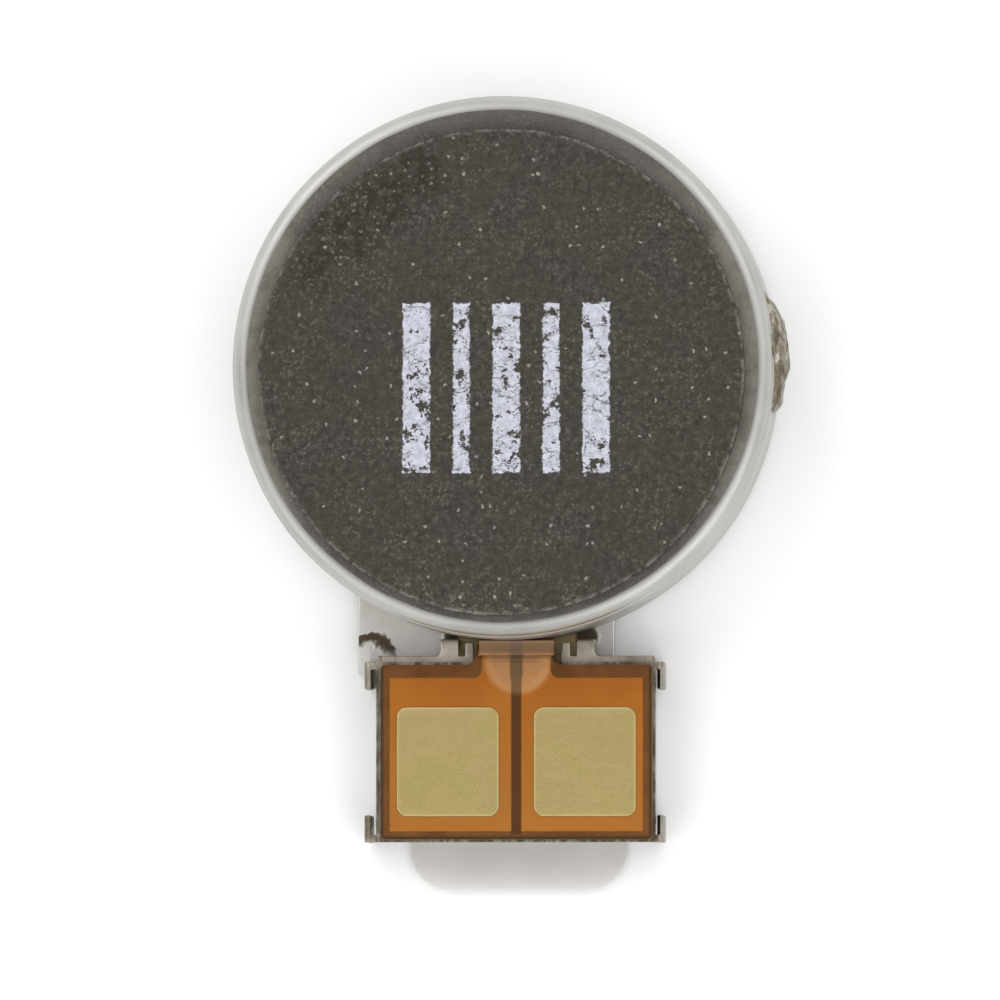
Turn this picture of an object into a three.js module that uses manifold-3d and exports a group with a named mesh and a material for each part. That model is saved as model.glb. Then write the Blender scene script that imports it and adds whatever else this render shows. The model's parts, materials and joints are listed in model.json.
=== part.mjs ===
// A brushed coin vibration motor with a two-pad contact board beside it.
// Millimetres, +Z up. The origin is the middle of the tape's underside, on the rotor's axis.
// The contact board lies towards -Y.
import * as THREE from "three";
import { mergeVertices } from "three/addons/utils/BufferGeometryUtils.js";
import Module from "manifold-3d";

const wasm = await Module();
wasm.setup();

const GAP = 0.01; // left between pieces that touch
const ROUND = 60; // sides of a large circle
const SMALL_ROUND = 24; // sides of a small circle
const DAB_ROUND = 10; // sides of a dab of solder or weld
const OVERRUN = 0.5; // how far a cutter runs past what it cuts
const GRID = 8192; // vertices lie on a grid of 1/8192 mm, so that flush faces meet exactly
const SAME_POINT = 1e-5;
const RAD = Math.PI / 180;
const ARC_STEPS = 4; // half the flats of a rotor piece's long arcs

// Housing
const CASE_RADIUS = 5;
const CASE_WALL = 0.2;
const CASE_EDGE_RADIUS = 0.28;
const TAPE_THICK = 0.09;
const TAPE_RADIUS = 4.6;
const TONGUE = { left: -1.865, right: 2.165, end: -9.6, corner: 0.7, waist: 1.85, waistEnd: -5.9 };
const BASE_Z = TAPE_THICK + GAP;
const BASE_THICK = 0.2;
const BASE_TOP = BASE_Z + BASE_THICK;
const BASE_RADIUS = 4.97;
const TAIL_OUTLINE = [
  [-2.83, -3.6], [-2.83, -5.59], [-2.5, -5.96], [-2.5, -8.5], [2.7, -8.5], [2.7, -5.75],
  [2.45, -5.55], [2.15, -5.48], [1.98, -5.38], [1.93, -5.2], [1.93, -3.6],
];
const CASE_BOTTOM = BASE_TOP + GAP;
const CASE_TOP = 3;
const CASE_CEILING = CASE_TOP - CASE_WALL;
const BEAD = { bottom: 1.1, top: 2.7 };
const BEAD_REACH = [[1.4, 0.05], [0.9, 0.14], [0.35, 0.2], [-0.05, 0.27], [-0.4, 0.17], [-0.83, 0.13]];
const FILM = { radius: 4.72, thick: 0.05 };
const FOAM = { radius: 4.49, thick: 0.23, y: -0.12 };

// Shaft and what stacks on it
const SHAFT_RADIUS = 0.4;
const RUNNING_CLEARANCE = 0.02;
const BOSS = { radius: 0.7, top: 0.9 };
const WASHER = { radius: 0.85, thick: 0.08 };
const BEARING = { radius: 0.9, bottom: 1.02, top: 2.62 };
const MAGNET = { inner: 2.15, outer: 4.35, bottom: 0.45, top: 1.2 };

// Rotor, whose heavy side points to +Y at rest
const SEGMENT_GAP = 4 * RAD;
const SEGMENT = { count: 6, inner: 1.05, outer: 1.95, bottom: 1.385, thick: 0.03, corner: 0.08 };
const BOARD = { bottom: 1.42, thick: 0.1, hub: 2.05, radius: 4.15, half: 98 * RAD, corner: 0.2 };
const WINDING = { inner: 1.4, outer: 4.2, middle: 62 * RAD, half: 31 * RAD, height: 0.85 };
const WINDING_SECTION = { width: 0.52, corner: 0.35 };
const WEIGHT = { inner: 1.6, outer: 4.2, half: 26 * RAD, height: 1.02, corner: 0.2 };
const RESIN = { hub: 1.75, radius: 4.42, half: 98 * RAD, height: 0.78, corner: 0.15 };
const FAN_INNER = BEARING.radius + 0.1;
const ROTOR_FLOOR = BOARD.bottom + BOARD.thick + GAP;
const POCKET_CLEARANCE = 0.015;
const HEAVY_SIDE = 90 * RAD;

// Contact board, its layers as heights above the flexible film's underside
const BOARD_X = 0.165;
const BOARD_TOP_Y = -5.46;
const BOARD_END_Y = -8.69;
const BOARD_HALF_WIDTH = 2.515;
const BOARD_CORNER = 0.08;
const CARRIER = { z: 0.98, thick: 0.12, left: -2.45, right: 2.73, top: -5.29, end: -8.74, corner: 0.06 };
const STIFFENER_THICK = 0.1;
const STIFFENER_Z = CARRIER.z + CARRIER.thick + GAP;
const FLEX_BOARD_Z = STIFFENER_Z + STIFFENER_THICK + GAP;
const FLEX_BASE_Z = BASE_TOP + GAP / 2;
const FILM_LAYER = [0, 0.05];
const COPPER_LAYER = [0.055, 0.085];
const COVER_LAYER = [0.09, 0.12];
const PAD_LAYER = [0.09, 0.128];
const SEALANT_LAYER = [0.125, 0.165];
const COPPER = { gap: 0.19, width: 2.25, top: -5.7, end: -8.54, corner: 0.04 };
const PAD = { pitch: 2.54, width: 1.9, height: 2.03, y: -7.255, corner: 0.2, clearance: 0.015 };

// Flexible neck: flat inside the case, straight up outside it, then over on to the board
const NECK = { left: -0.57, right: 0.8, riseY: -5.2, bend: 0.2, steps: 8 };
const NECK_TRACE = { width: 0.52, step: 0.02 };
const FLEX_HUB = { inner: 0.76, outer: 2.08 };
const CASE_NOTCH = { left: -0.75, right: 0.98, top: 0.53 };
const SEALANT = { left: -0.54, right: 0.88, end: -5.99, inner: -4.95, corner: 0.62, reach: 0.16 };
const SEALANT_FILL = { inset: 0.02, depth: 0.02, wallY: -5.02, top: 1.37, bottom: 1.0 };

// Leaf brushes, one on each side of the shaft, as (y, z) points along the middle of the leaf
const BRUSH = { x: 1.35, width: 0.4, thick: 0.05 };
const BRUSH_PATH = [[-1.3, 0.42], [-0.85, 0.42], [-0.6, 0.5], [0.35, 1.2], [0.62, 1.34], [0.8, 1.24]];
const SOLDER = { radius: 0.17, y: -1.1, height: 0.09 };

// Carrier sheet: four bent feet, and beside the neck an arm and a guide each way
const FOOT = { length: 0.5, thick: 0.11, leftX: -2.67, rightX: 2.77, bottom: 0.12, tie: 0.14, down: 0.11 };
const ROOT = 0.05; // how far a foot, an arm or a guide reaches into the sheet it grows from
const ARM = { width: 0.33, leftX: -1.25, rightX: 1.27, end: -4.97, radius: 0.08, corner: 0.02 };
const GUIDE = { width: 0.15, leftX: -0.8, rightX: 1.0, end: -5.04 };
const WELD = { radius: 0.15, height: 0.13, y: -5.15 };
const NECK_CUT = { left: -0.63, right: 0.97, end: -5.95, corner: 0.6 };

function solidFrom(geometry) {
  const bare = geometry.index ? geometry.toNonIndexed() : geometry.clone();
  bare.deleteAttribute("normal");
  bare.deleteAttribute("uv");
  const positions = bare.attributes.position.array;
  positions.forEach((value, i) => (positions[i] = Math.round(value * GRID) / GRID));
  const merged = mergeVertices(bare, SAME_POINT);
  const vertProperties = merged.attributes.position.array;
  const triVerts = new Uint32Array(merged.index.array);
  return new wasm.Manifold(new wasm.Mesh({ numProp: 3, vertProperties, triVerts }));
}

function geometryFrom(solid) {
  const { vertProperties, triVerts } = solid.getMesh();
  const indexed = new THREE.BufferGeometry();
  indexed.setAttribute("position", new THREE.BufferAttribute(vertProperties, 3));
  indexed.setIndex(new THREE.BufferAttribute(triVerts, 1));
  const geometry = indexed.toNonIndexed();
  geometry.computeVertexNormals();
  return geometry;
}

const join = (first, ...rest) => rest.reduce((whole, next) => whole.add(next), first);
const cut = (first, ...rest) => rest.reduce((whole, next) => whole.subtract(next), first);

// A flat plate of a plan outline between two heights
function plate(shape, bottom, top, curveSegments = 3) {
  const options = { depth: top - bottom, bevelEnabled: false, curveSegments };
  return solidFrom(new THREE.ExtrudeGeometry(shape, options).translate(0, 0, bottom));
}

// A solid of revolution about +Z from a closed (radius, height) outline
function turned(outline, sides = ROUND) {
  const points = [...outline, outline[0]].map(([r, z]) => new THREE.Vector2(r, z));
  return solidFrom(new THREE.LatheGeometry(points, sides).rotateX(Math.PI / 2));
}

// A low dome that stands on a surface
function dab(radius, height, bottom) {
  const outline = [[0, 0], [1, 0], [0.75, 0.65], [0, 1]];
  const points = outline.map(([r, z]) => new THREE.Vector2(r * radius, bottom + z * height));
  return solidFrom(new THREE.LatheGeometry(points, DAB_ROUND).rotateX(Math.PI / 2));
}

const ring = (inner, outer, bottom, top, sides = ROUND) =>
  turned([[outer, bottom], [outer, top], [inner, top], [inner, bottom]], sides);

function disc(radius, bottom, top, sides = ROUND) {
  const geometry = new THREE.CylinderGeometry(radius, radius, top - bottom, sides);
  return solidFrom(geometry.rotateX(Math.PI / 2).translate(0, 0, (bottom + top) / 2));
}

function block(left, right, low, high, bottom, top) {
  const geometry = new THREE.BoxGeometry(right - left, high - low, top - bottom);
  return solidFrom(geometry.translate((left + right) / 2, (low + high) / 2, (bottom + top) / 2));
}

// A rectangle with rounded corners: the first radius at its upper corners, the second at its lower ones
function rectangle(left, right, low, high, upper, lower = upper) {
  const shape = new THREE.Shape();
  shape.moveTo(left + lower, low);
  shape.lineTo(right - lower, low);
  if (lower) shape.absarc(right - lower, low + lower, lower, -Math.PI / 2, 0);
  shape.lineTo(right, high - upper);
  if (upper) shape.absarc(right - upper, high - upper, upper, 0, Math.PI / 2);
  shape.lineTo(left + upper, high);
  if (upper) shape.absarc(left + upper, high - upper, upper, Math.PI / 2, Math.PI);
  shape.lineTo(left, low + lower);
  if (lower) shape.absarc(left + lower, low + lower, lower, Math.PI, Math.PI * 1.5);
  return shape;
}

const polygon = (points) => new THREE.Shape(points.map(([x, y]) => new THREE.Vector2(x, y)));
const polar = (radius, angle) => [radius * Math.cos(angle), radius * Math.sin(angle)];

// A ring sector between two angles, its four corners rounded
function sector(inner, outer, from, to, corner) {
  const shape = new THREE.Shape();
  const inStep = corner / inner;
  const outStep = corner / outer;
  shape.absarc(0, 0, outer, from + outStep, to - outStep, false);
  shape.quadraticCurveTo(...polar(outer, to), ...polar(outer - corner, to));
  shape.lineTo(...polar(inner + corner, to));
  shape.quadraticCurveTo(...polar(inner, to), ...polar(inner, to - inStep));
  shape.absarc(0, 0, inner, to - inStep, from + inStep, true);
  shape.quadraticCurveTo(...polar(inner, from), ...polar(inner + corner, from));
  shape.lineTo(...polar(outer - corner, from));
  shape.quadraticCurveTo(...polar(outer, from), ...polar(outer, from + outStep));
  return shape;
}

// A (y, z) path through given points, its direction at each one taken from its neighbours
const through = (points) =>
  points.map(([y, z], i) => {
    const [fromY, fromZ] = points[Math.max(0, i - 1)];
    const [toY, toZ] = points[Math.min(points.length - 1, i + 1)];
    return { y, z, heading: Math.atan2(toZ - fromZ, toY - fromY) };
  });

// A strip bent along a (y, z) path, between two offsets from it, from one x to another
function strip(path, [low, high], left, right) {
  const side = (offset) =>
    path.map(({ y, z, heading }) =>
      new THREE.Vector2(y + offset * Math.sin(heading), z - offset * Math.cos(heading)));
  return prism(new THREE.Shape([...side(low), ...side(high).reverse()]), left, right);
}

// A solid of a (y, z) outline, from one x to another
function prism(outline, left, right) {
  const geometry = new THREE.ExtrudeGeometry(outline, { depth: right - left, bevelEnabled: false });
  const across = new THREE.Vector3(1, 0, 0);
  const away = new THREE.Vector3(0, 1, 0);
  const up = new THREE.Vector3(0, 0, 1);
  geometry.applyMatrix4(new THREE.Matrix4().makeBasis(away, up, across));
  return solidFrom(geometry.translate(left, 0, 0));
}

// The film's underside, from a y inside the case to a y on the contact board
function neckPath(fromY, toY) {
  const { riseY, bend, steps } = NECK;
  const turns = Array.from({ length: steps + 1 }, (_, i) => (i / steps) * (Math.PI / 2));
  const rise = turns.map((turn) => ({
    y: riseY + bend - bend * Math.sin(turn),
    z: FLEX_BASE_Z + bend - bend * Math.cos(turn),
    heading: Math.PI - turn,
  }));
  const fall = turns.map((turn) => ({
    y: riseY - bend + bend * Math.cos(turn),
    z: FLEX_BOARD_Z - bend + bend * Math.sin(turn),
    heading: Math.PI / 2 + turn,
  }));
  const start = { y: fromY, z: FLEX_BASE_Z, heading: Math.PI };
  return [start, ...rise, ...fall, { y: toY, z: FLEX_BOARD_Z, heading: Math.PI }];
}

const boardLevel = (layer) => layer.map((height) => FLEX_BOARD_Z + height);
const baseLevel = (layer) => layer.map((height) => FLEX_BASE_Z + height);

// Housing

function mountingTape() {
  const { left, right, end, corner, waist, waistEnd } = TONGUE;
  const tongue = plate(rectangle(left, right, end, waistEnd, 0, corner), 0, TAPE_THICK);
  const neck = block(left, waist, waistEnd - OVERRUN, -TAPE_RADIUS / 2, 0, TAPE_THICK);
  return join(disc(TAPE_RADIUS, 0, TAPE_THICK), neck, tongue);
}

function basePlate() {
  const tail = plate(polygon(TAIL_OUTLINE), BASE_Z, BASE_TOP);
  const sheet = join(disc(BASE_RADIUS, BASE_Z, BASE_TOP), tail);
  const boss = disc(BOSS.radius, BASE_Z, BOSS.top, SMALL_ROUND);
  const hole = disc(SHAFT_RADIUS + GAP, BASE_Z - OVERRUN, BOSS.top + OVERRUN, SMALL_ROUND);
  return cut(join(sheet, boss), hole);
}

// A drawn cup, mouth down, holed for the shaft's end and notched where the neck leaves
function caseCup() {
  const arc = (radius, centreR, centreZ, steps, back) =>
    Array.from({ length: steps + 1 }, (_, i) => {
      const angle = ((back ? steps - i : i) / steps) * (Math.PI / 2);
      return [centreR + radius * Math.cos(angle), centreZ + radius * Math.sin(angle)];
    });
  const centreR = CASE_RADIUS - CASE_EDGE_RADIUS;
  const centreZ = CASE_TOP - CASE_EDGE_RADIUS;
  const hole = SHAFT_RADIUS + GAP;
  const cup = turned([
    [CASE_RADIUS, CASE_BOTTOM],
    ...arc(CASE_EDGE_RADIUS, centreR, centreZ, 5, false),
    [hole, CASE_TOP],
    [hole, CASE_CEILING],
    ...arc(CASE_EDGE_RADIUS - CASE_WALL, centreR, centreZ, 2, true),
    [CASE_RADIUS - CASE_WALL, CASE_BOTTOM],
  ]);
  const { left, right, top } = CASE_NOTCH;
  return cut(cup, block(left, right, -CASE_RADIUS - OVERRUN, -4, CASE_BOTTOM - OVERRUN, top));
}

// A lump of weld on the case's +X side, thickest a little below its middle
function weldBead() {
  const inner = CASE_RADIUS + GAP;
  const highY = BEAD_REACH[0][0];
  const lowY = BEAD_REACH[BEAD_REACH.length - 1][0];
  const shape = new THREE.Shape();
  shape.absarc(0, 0, inner, Math.asin(lowY / inner), Math.asin(highY / inner), false);
  BEAD_REACH.forEach(([y, proud]) => shape.lineTo(Math.sqrt((CASE_RADIUS + proud) ** 2 - y * y), y));
  return plate(shape, BEAD.bottom, BEAD.top);
}

const topFilm = () => disc(FILM.radius, CASE_TOP + GAP, CASE_TOP + GAP + FILM.thick);

function foamPad() {
  const bottom = CASE_TOP + 2 * GAP + FILM.thick;
  return disc(FOAM.radius, bottom, bottom + FOAM.thick).translate(0, FOAM.y, 0);
}

// Shaft, magnet and brushes

const shaft = () => disc(SHAFT_RADIUS, BASE_Z + GAP, CASE_TOP - GAP, SMALL_ROUND);

const washer = (bottom) =>
  ring(SHAFT_RADIUS + GAP, WASHER.radius, bottom, bottom + WASHER.thick, SMALL_ROUND);

const ringMagnet = () => ring(MAGNET.inner, MAGNET.outer, MAGNET.bottom, MAGNET.top);

function brush(side) {
  const half = BRUSH.width / 2;
  const layer = [-BRUSH.thick / 2, BRUSH.thick / 2];
  return strip(through(BRUSH_PATH), layer, side * BRUSH.x - half, side * BRUSH.x + half);
}

function brushSolder(side) {
  const bottom = BRUSH_PATH[0][1] + BRUSH.thick / 2 + GAP;
  return dab(SOLDER.radius, SOLDER.height, bottom).translate(side * BRUSH.x, SOLDER.y, 0);
}

// Contact board, from the film up

function flexFilm() {
  const [low, high] = boardLevel(FILM_LAYER);
  const left = BOARD_X - BOARD_HALF_WIDTH;
  const right = BOARD_X + BOARD_HALF_WIDTH;
  const board = plate(rectangle(left, right, BOARD_END_Y, BOARD_TOP_Y, BOARD_CORNER), low, high);
  const hub = ring(FLEX_HUB.inner, FLEX_HUB.outer, ...baseLevel(FILM_LAYER));
  const neck = strip(neckPath(-1.7, -5.7), FILM_LAYER, NECK.left, NECK.right);
  return join(board, neck, hub);
}

// One conductor: its field on the board, its run through the neck, and its pad under a brush foot
function copperTrace(side) {
  const inner = BOARD_X + (side * COPPER.gap) / 2;
  const outer = inner + side * COPPER.width;
  const neckInner = inner + side * NECK_TRACE.step;
  const neckOuter = neckInner + side * NECK_TRACE.width;
  const sides = [Math.min(inner, outer), Math.max(inner, outer)];
  const field = rectangle(...sides, COPPER.end, COPPER.top, COPPER.corner);
  const neckSides = [Math.min(neckInner, neckOuter), Math.max(neckInner, neckOuter)];
  const neck = strip(neckPath(-2.1, -5.9), COPPER_LAYER, ...neckSides);
  const landing = polygon([
    [inner, -2.3], [inner, -1.8], [side * 1.15, -1.2], [side * 1.15, -0.8],
    [side * 1.55, -0.8], [side * 1.55, -1.25], [side * 1.25, -1.6],
    [neckOuter + side * NECK_TRACE.step, -1.9], [neckOuter + side * NECK_TRACE.step, -2.3],
  ]);
  return join(plate(field, ...boardLevel(COPPER_LAYER)), neck, plate(landing, ...baseLevel(COPPER_LAYER)));
}

const padX = (side) => BOARD_X + (side * PAD.pitch) / 2;

function padOutline(side, grow) {
  const halfWidth = PAD.width / 2 + grow;
  const halfHeight = PAD.height / 2 + grow;
  const x = padX(side);
  return rectangle(x - halfWidth, x + halfWidth, PAD.y - halfHeight, PAD.y + halfHeight, PAD.corner + grow);
}

function coverLayer() {
  const [low, high] = boardLevel(COVER_LAYER);
  const left = BOARD_X - BOARD_HALF_WIDTH;
  const right = BOARD_X + BOARD_HALF_WIDTH;
  const board = plate(rectangle(left, right, BOARD_END_Y, BOARD_TOP_Y, BOARD_CORNER), low, high);
  const neck = strip(neckPath(-3.2, -5.7), COVER_LAYER, NECK.left, NECK.right);
  const windows = [-1, 1].map((side) =>
    plate(padOutline(side, PAD.clearance), low - GAP, high + GAP));
  return cut(join(board, neck), ...windows);
}

const contactPad = (side) => plate(padOutline(side, 0), ...boardLevel(PAD_LAYER));

// A thin coat of sealant over the neck's bend, round where it ends on the board, and what fills the
// space from the bend to the case
function neckSealant() {
  const { left, right, end, inner, corner, reach } = SEALANT;
  const coat = strip(neckPath(inner, end - OVERRUN), SEALANT_LAYER, left, right);
  const outline = rectangle(left - GAP, right + GAP, end, NECK.riseY + reach, 0, corner);
  const trimmed = coat.intersect(plate(outline, FLEX_BOARD_Z - 0.5, FLEX_BOARD_Z + 1));
  return join(trimmed, sealantFill());
}

function sealantFill() {
  const { inset, depth, wallY, top, bottom } = SEALANT_FILL;
  const centreY = NECK.riseY - NECK.bend;
  const centreZ = FLEX_BOARD_Z - NECK.bend;
  const radius = NECK.bend + SEALANT_LAYER[0] + depth;
  const bend = Array.from({ length: NECK.steps + 1 }, (_, i) => {
    const turn = ((1 - i / NECK.steps) * Math.PI) / 2;
    return [centreY + radius * Math.sin(turn), centreZ + radius * Math.cos(turn)];
  });
  const outline = [[wallY, top], [wallY, bottom], ...bend].map(([y, z]) => new THREE.Vector2(y, z));
  return prism(new THREE.Shape(outline), SEALANT.left + inset, SEALANT.right - inset);
}

function stiffener() {
  const left = BOARD_X - BOARD_HALF_WIDTH;
  const right = BOARD_X + BOARD_HALF_WIDTH;
  const outline = rectangle(left, right, BOARD_END_Y, BOARD_TOP_Y, BOARD_CORNER);
  return plate(outline, STIFFENER_Z, STIFFENER_Z + STIFFENER_THICK);
}

function contactCarrier() {
  const { z, thick, left, right, top, end, corner } = CARRIER;
  const face = z + thick;
  const sheet = plate(rectangle(left, right, end, top, corner), z, face);
  const feet = [];
  for (const x of [FOOT.leftX, FOOT.rightX]) {
    for (const upper of [true, false]) {
      const low = upper ? top - FOOT.down - FOOT.length : end;
      const tieLow = upper ? low + FOOT.length - FOOT.tie : low;
      const tieEnds = x < 0 ? [x + FOOT.thick / 2, left + ROOT] : [right - ROOT, x + FOOT.thick / 2];
      feet.push(block(x, x + FOOT.thick, low, low + FOOT.length, FOOT.bottom, face));
      feet.push(block(...tieEnds, tieLow, tieLow + FOOT.tie, z, face));
    }
  }
  const armPath = through([
    [top - ROOT, face], [top + ROOT, face], [ARM.end - ARM.radius, face],
    [ARM.end - ARM.corner, face - ARM.corner], [ARM.end, face - ARM.radius], [ARM.end, BASE_TOP + GAP],
  ]);
  const arms = [ARM.leftX, ARM.rightX].map((x) => strip(armPath, [0, thick], x, x + ARM.width));
  const guides = [GUIDE.leftX, GUIDE.rightX].map((x) =>
    block(x, x + GUIDE.width, top - ROOT, GUIDE.end, z, face));
  const neckCut = rectangle(NECK_CUT.left, NECK_CUT.right, NECK_CUT.end, top + OVERRUN, 0, NECK_CUT.corner);
  return cut(join(sheet, ...feet, ...arms, ...guides), plate(neckCut, z - GAP, face + GAP));
}

// A dab of weld where an arm of the carrier meets the base plate
const armWeld = (x) => dab(WELD.radius, WELD.height, BASE_TOP + GAP).translate(x, WELD.y, 0);

// Rotor

const bearing = () =>
  ring(SHAFT_RADIUS + RUNNING_CLEARANCE, BEARING.radius, BEARING.bottom, BEARING.top, SMALL_ROUND);

function commutatorBoard() {
  const { bottom, thick, hub, radius, half, corner } = BOARD;
  const fan = sector(FAN_INNER, radius, HEAVY_SIDE - half, HEAVY_SIDE + half, corner);
  const hole = disc(BEARING.radius + GAP, bottom - OVERRUN, bottom + OVERRUN, SMALL_ROUND);
  return cut(join(plate(fan, bottom, bottom + thick, ARC_STEPS), disc(hub, bottom, bottom + thick)), hole);
}

function commutatorSegment(index) {
  const { count, inner, outer, bottom, thick, corner } = SEGMENT;
  const step = (2 * Math.PI) / count;
  const from = HEAVY_SIDE + index * step + SEGMENT_GAP / 2;
  return plate(sector(inner, outer, from, from + step - SEGMENT_GAP, corner), bottom, bottom + thick);
}

function windingOutline(side, inset) {
  const middle = HEAVY_SIDE - side * WINDING.middle;
  const half = WINDING.half - (inset * 2) / (WINDING.inner + WINDING.outer);
  const inner = WINDING.inner + inset;
  const { corner } = WINDING_SECTION;
  return sector(inner, WINDING.outer - inset, middle - half, middle + half, corner * (1 - inset));
}

function coil(side) {
  const top = ROTOR_FLOOR + WINDING.height;
  const body = plate(windingOutline(side, 0), ROTOR_FLOOR, top, ARC_STEPS);
  const middle = windingOutline(side, WINDING_SECTION.width);
  return cut(body, plate(middle, ROTOR_FLOOR - OVERRUN, top + OVERRUN, ARC_STEPS));
}

const weightOutline = (grow) =>
  sector(
    WEIGHT.inner - grow,
    WEIGHT.outer + grow,
    HEAVY_SIDE - WEIGHT.half - grow / WEIGHT.inner,
    HEAVY_SIDE + WEIGHT.half + grow / WEIGHT.inner,
    WEIGHT.corner,
  );

const counterweight = () =>
  plate(weightOutline(0), ROTOR_FLOOR, ROTOR_FLOOR + WEIGHT.height, ARC_STEPS);

// The moulding that holds the bearing, the coils and the weight
function rotorResin() {
  const { hub, radius, half, height, corner } = RESIN;
  const top = ROTOR_FLOOR + height;
  const fan = sector(FAN_INNER, radius, HEAVY_SIDE - half, HEAVY_SIDE + half, corner);
  const body = join(plate(fan, ROTOR_FLOOR, top, 2 * ARC_STEPS), disc(hub, ROTOR_FLOOR, top, SMALL_ROUND));
  const low = ROTOR_FLOOR - OVERRUN;
  const high = top + OVERRUN;
  const pocket = (outline) => plate(outline, low, high, ARC_STEPS);
  const coils = [-1, 1].map((side) => pocket(windingOutline(side, -POCKET_CLEARANCE)));
  const bore = disc(BEARING.radius + GAP, low, high, SMALL_ROUND);
  return cut(body, ...coils, pocket(weightOutline(POCKET_CLEARANCE)), bore);
}

const finish = (color, roughness, metalness) => ({ color, roughness, metalness });
const STEEL = finish(0xc9c8c2, 0.35, 1);
const PLATED = finish(0xbab7b0, 0.45, 1);
const COPPER_WIRE = finish(0xb8693a, 0.35, 1);
const COPPER_FOIL = finish(0xb87333, 0.4, 1);
const GOLD = finish(0xb9a36c, 0.45, 1);
const POLYIMIDE = finish(0xa6642a, 0.4, 0);
const BURNT = finish(0x6b6048, 0.6, 0.8);

const motor = new THREE.Group();
motor.name = "coin_vibration_motor";
const rotor = new THREE.Group();
motor.add(rotor);

function add(group, name, solid, look) {
  const mesh = new THREE.Mesh(geometryFrom(solid), new THREE.MeshStandardMaterial(look));
  mesh.name = name;
  group.add(mesh);
}

add(motor, "mounting_tape", mountingTape(), finish(0xc8c5c1, 0.5, 0));
add(motor, "base_plate", basePlate(), PLATED);
add(motor, "case_cup", caseCup(), STEEL);
add(motor, "case_weld_bead", weldBead(), BURNT);
add(motor, "top_film", topFilm(), finish(0x4a4d4a, 0.4, 0));
add(motor, "foam_pad", foamPad(), finish(0x484541, 0.95, 0));
add(motor, "shaft", shaft(), STEEL);
add(motor, "lower_washer", washer(BOSS.top + GAP), finish(0xe0d8c0, 0.6, 0));
add(motor, "upper_washer", washer(BEARING.top + RUNNING_CLEARANCE), finish(0xe0d8c0, 0.6, 0));
add(motor, "ring_magnet", ringMagnet(), finish(0x8d8d8c, 0.3, 1));
add(motor, "flex_film", flexFilm(), POLYIMIDE);
add(motor, "flex_coverlay", coverLayer(), POLYIMIDE);
add(motor, "contact_stiffener", stiffener(), finish(0x4a3220, 0.7, 0));
add(motor, "contact_carrier", contactCarrier(), PLATED);
add(motor, "neck_sealant", neckSealant(), finish(0xcbb093, 0.2, 0));
add(rotor, "bearing_sleeve", bearing(), finish(0x9c7f4a, 0.6, 1));
add(rotor, "commutator_board", commutatorBoard(), finish(0x2f5b38, 0.6, 0));
add(rotor, "counterweight", counterweight(), finish(0x77797c, 0.5, 1));
add(rotor, "rotor_resin", rotorResin(), finish(0x25272a, 0.7, 0));
for (const [side, name, x] of [[-1, "left", ARM.leftX], [1, "right", ARM.rightX]]) {
  add(motor, "copper_trace_" + name, copperTrace(side), COPPER_FOIL);
  add(motor, "contact_pad_" + name, contactPad(side), GOLD);
  add(motor, "brush_" + name, brush(side), GOLD);
  add(motor, "brush_solder_" + name, brushSolder(side), finish(0xb8b8ba, 0.35, 1));
  add(motor, "arm_weld_" + name, armWeld(x + ARM.width / 2), BURNT);
  add(rotor, "coil_" + name, coil(side), COPPER_WIRE);
}
for (let i = 0; i < SEGMENT.count; i++) {
  add(rotor, "commutator_segment_" + (i + 1), commutatorSegment(i), GOLD);
}

export default motor;
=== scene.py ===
"""A coin vibration motor with its contact board, on a pale floor.

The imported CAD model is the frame. Sizes here are millimetres in its axes, and meshes are made in
millimetres and scaled to metres as they are finished.
"""

import json
import math
from functools import reduce

import bmesh
import bpy
from mathutils import Matrix, Vector, noise


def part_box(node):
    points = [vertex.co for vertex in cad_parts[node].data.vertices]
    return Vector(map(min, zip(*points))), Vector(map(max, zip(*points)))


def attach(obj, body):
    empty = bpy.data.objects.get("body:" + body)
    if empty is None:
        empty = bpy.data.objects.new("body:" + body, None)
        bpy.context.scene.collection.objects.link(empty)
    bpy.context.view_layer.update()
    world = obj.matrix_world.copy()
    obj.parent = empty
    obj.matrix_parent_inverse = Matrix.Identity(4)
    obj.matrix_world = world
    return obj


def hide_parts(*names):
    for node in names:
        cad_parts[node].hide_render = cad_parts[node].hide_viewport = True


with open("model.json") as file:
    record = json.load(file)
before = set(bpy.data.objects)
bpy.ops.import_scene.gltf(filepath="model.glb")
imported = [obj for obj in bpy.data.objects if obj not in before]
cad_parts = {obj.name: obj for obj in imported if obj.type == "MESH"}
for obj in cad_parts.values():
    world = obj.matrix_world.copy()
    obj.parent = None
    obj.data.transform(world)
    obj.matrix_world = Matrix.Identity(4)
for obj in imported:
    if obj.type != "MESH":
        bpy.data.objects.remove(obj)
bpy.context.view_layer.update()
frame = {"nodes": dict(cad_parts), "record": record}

MM = 0.001
QUARTER = math.pi / 2
scene = bpy.context.scene


def box_mm(node):
    """The lowest and highest corner of a CAD node, in millimetres."""
    low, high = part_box(node)
    return low / MM, high / MM


# --- Sizes read from the frame ---

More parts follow.
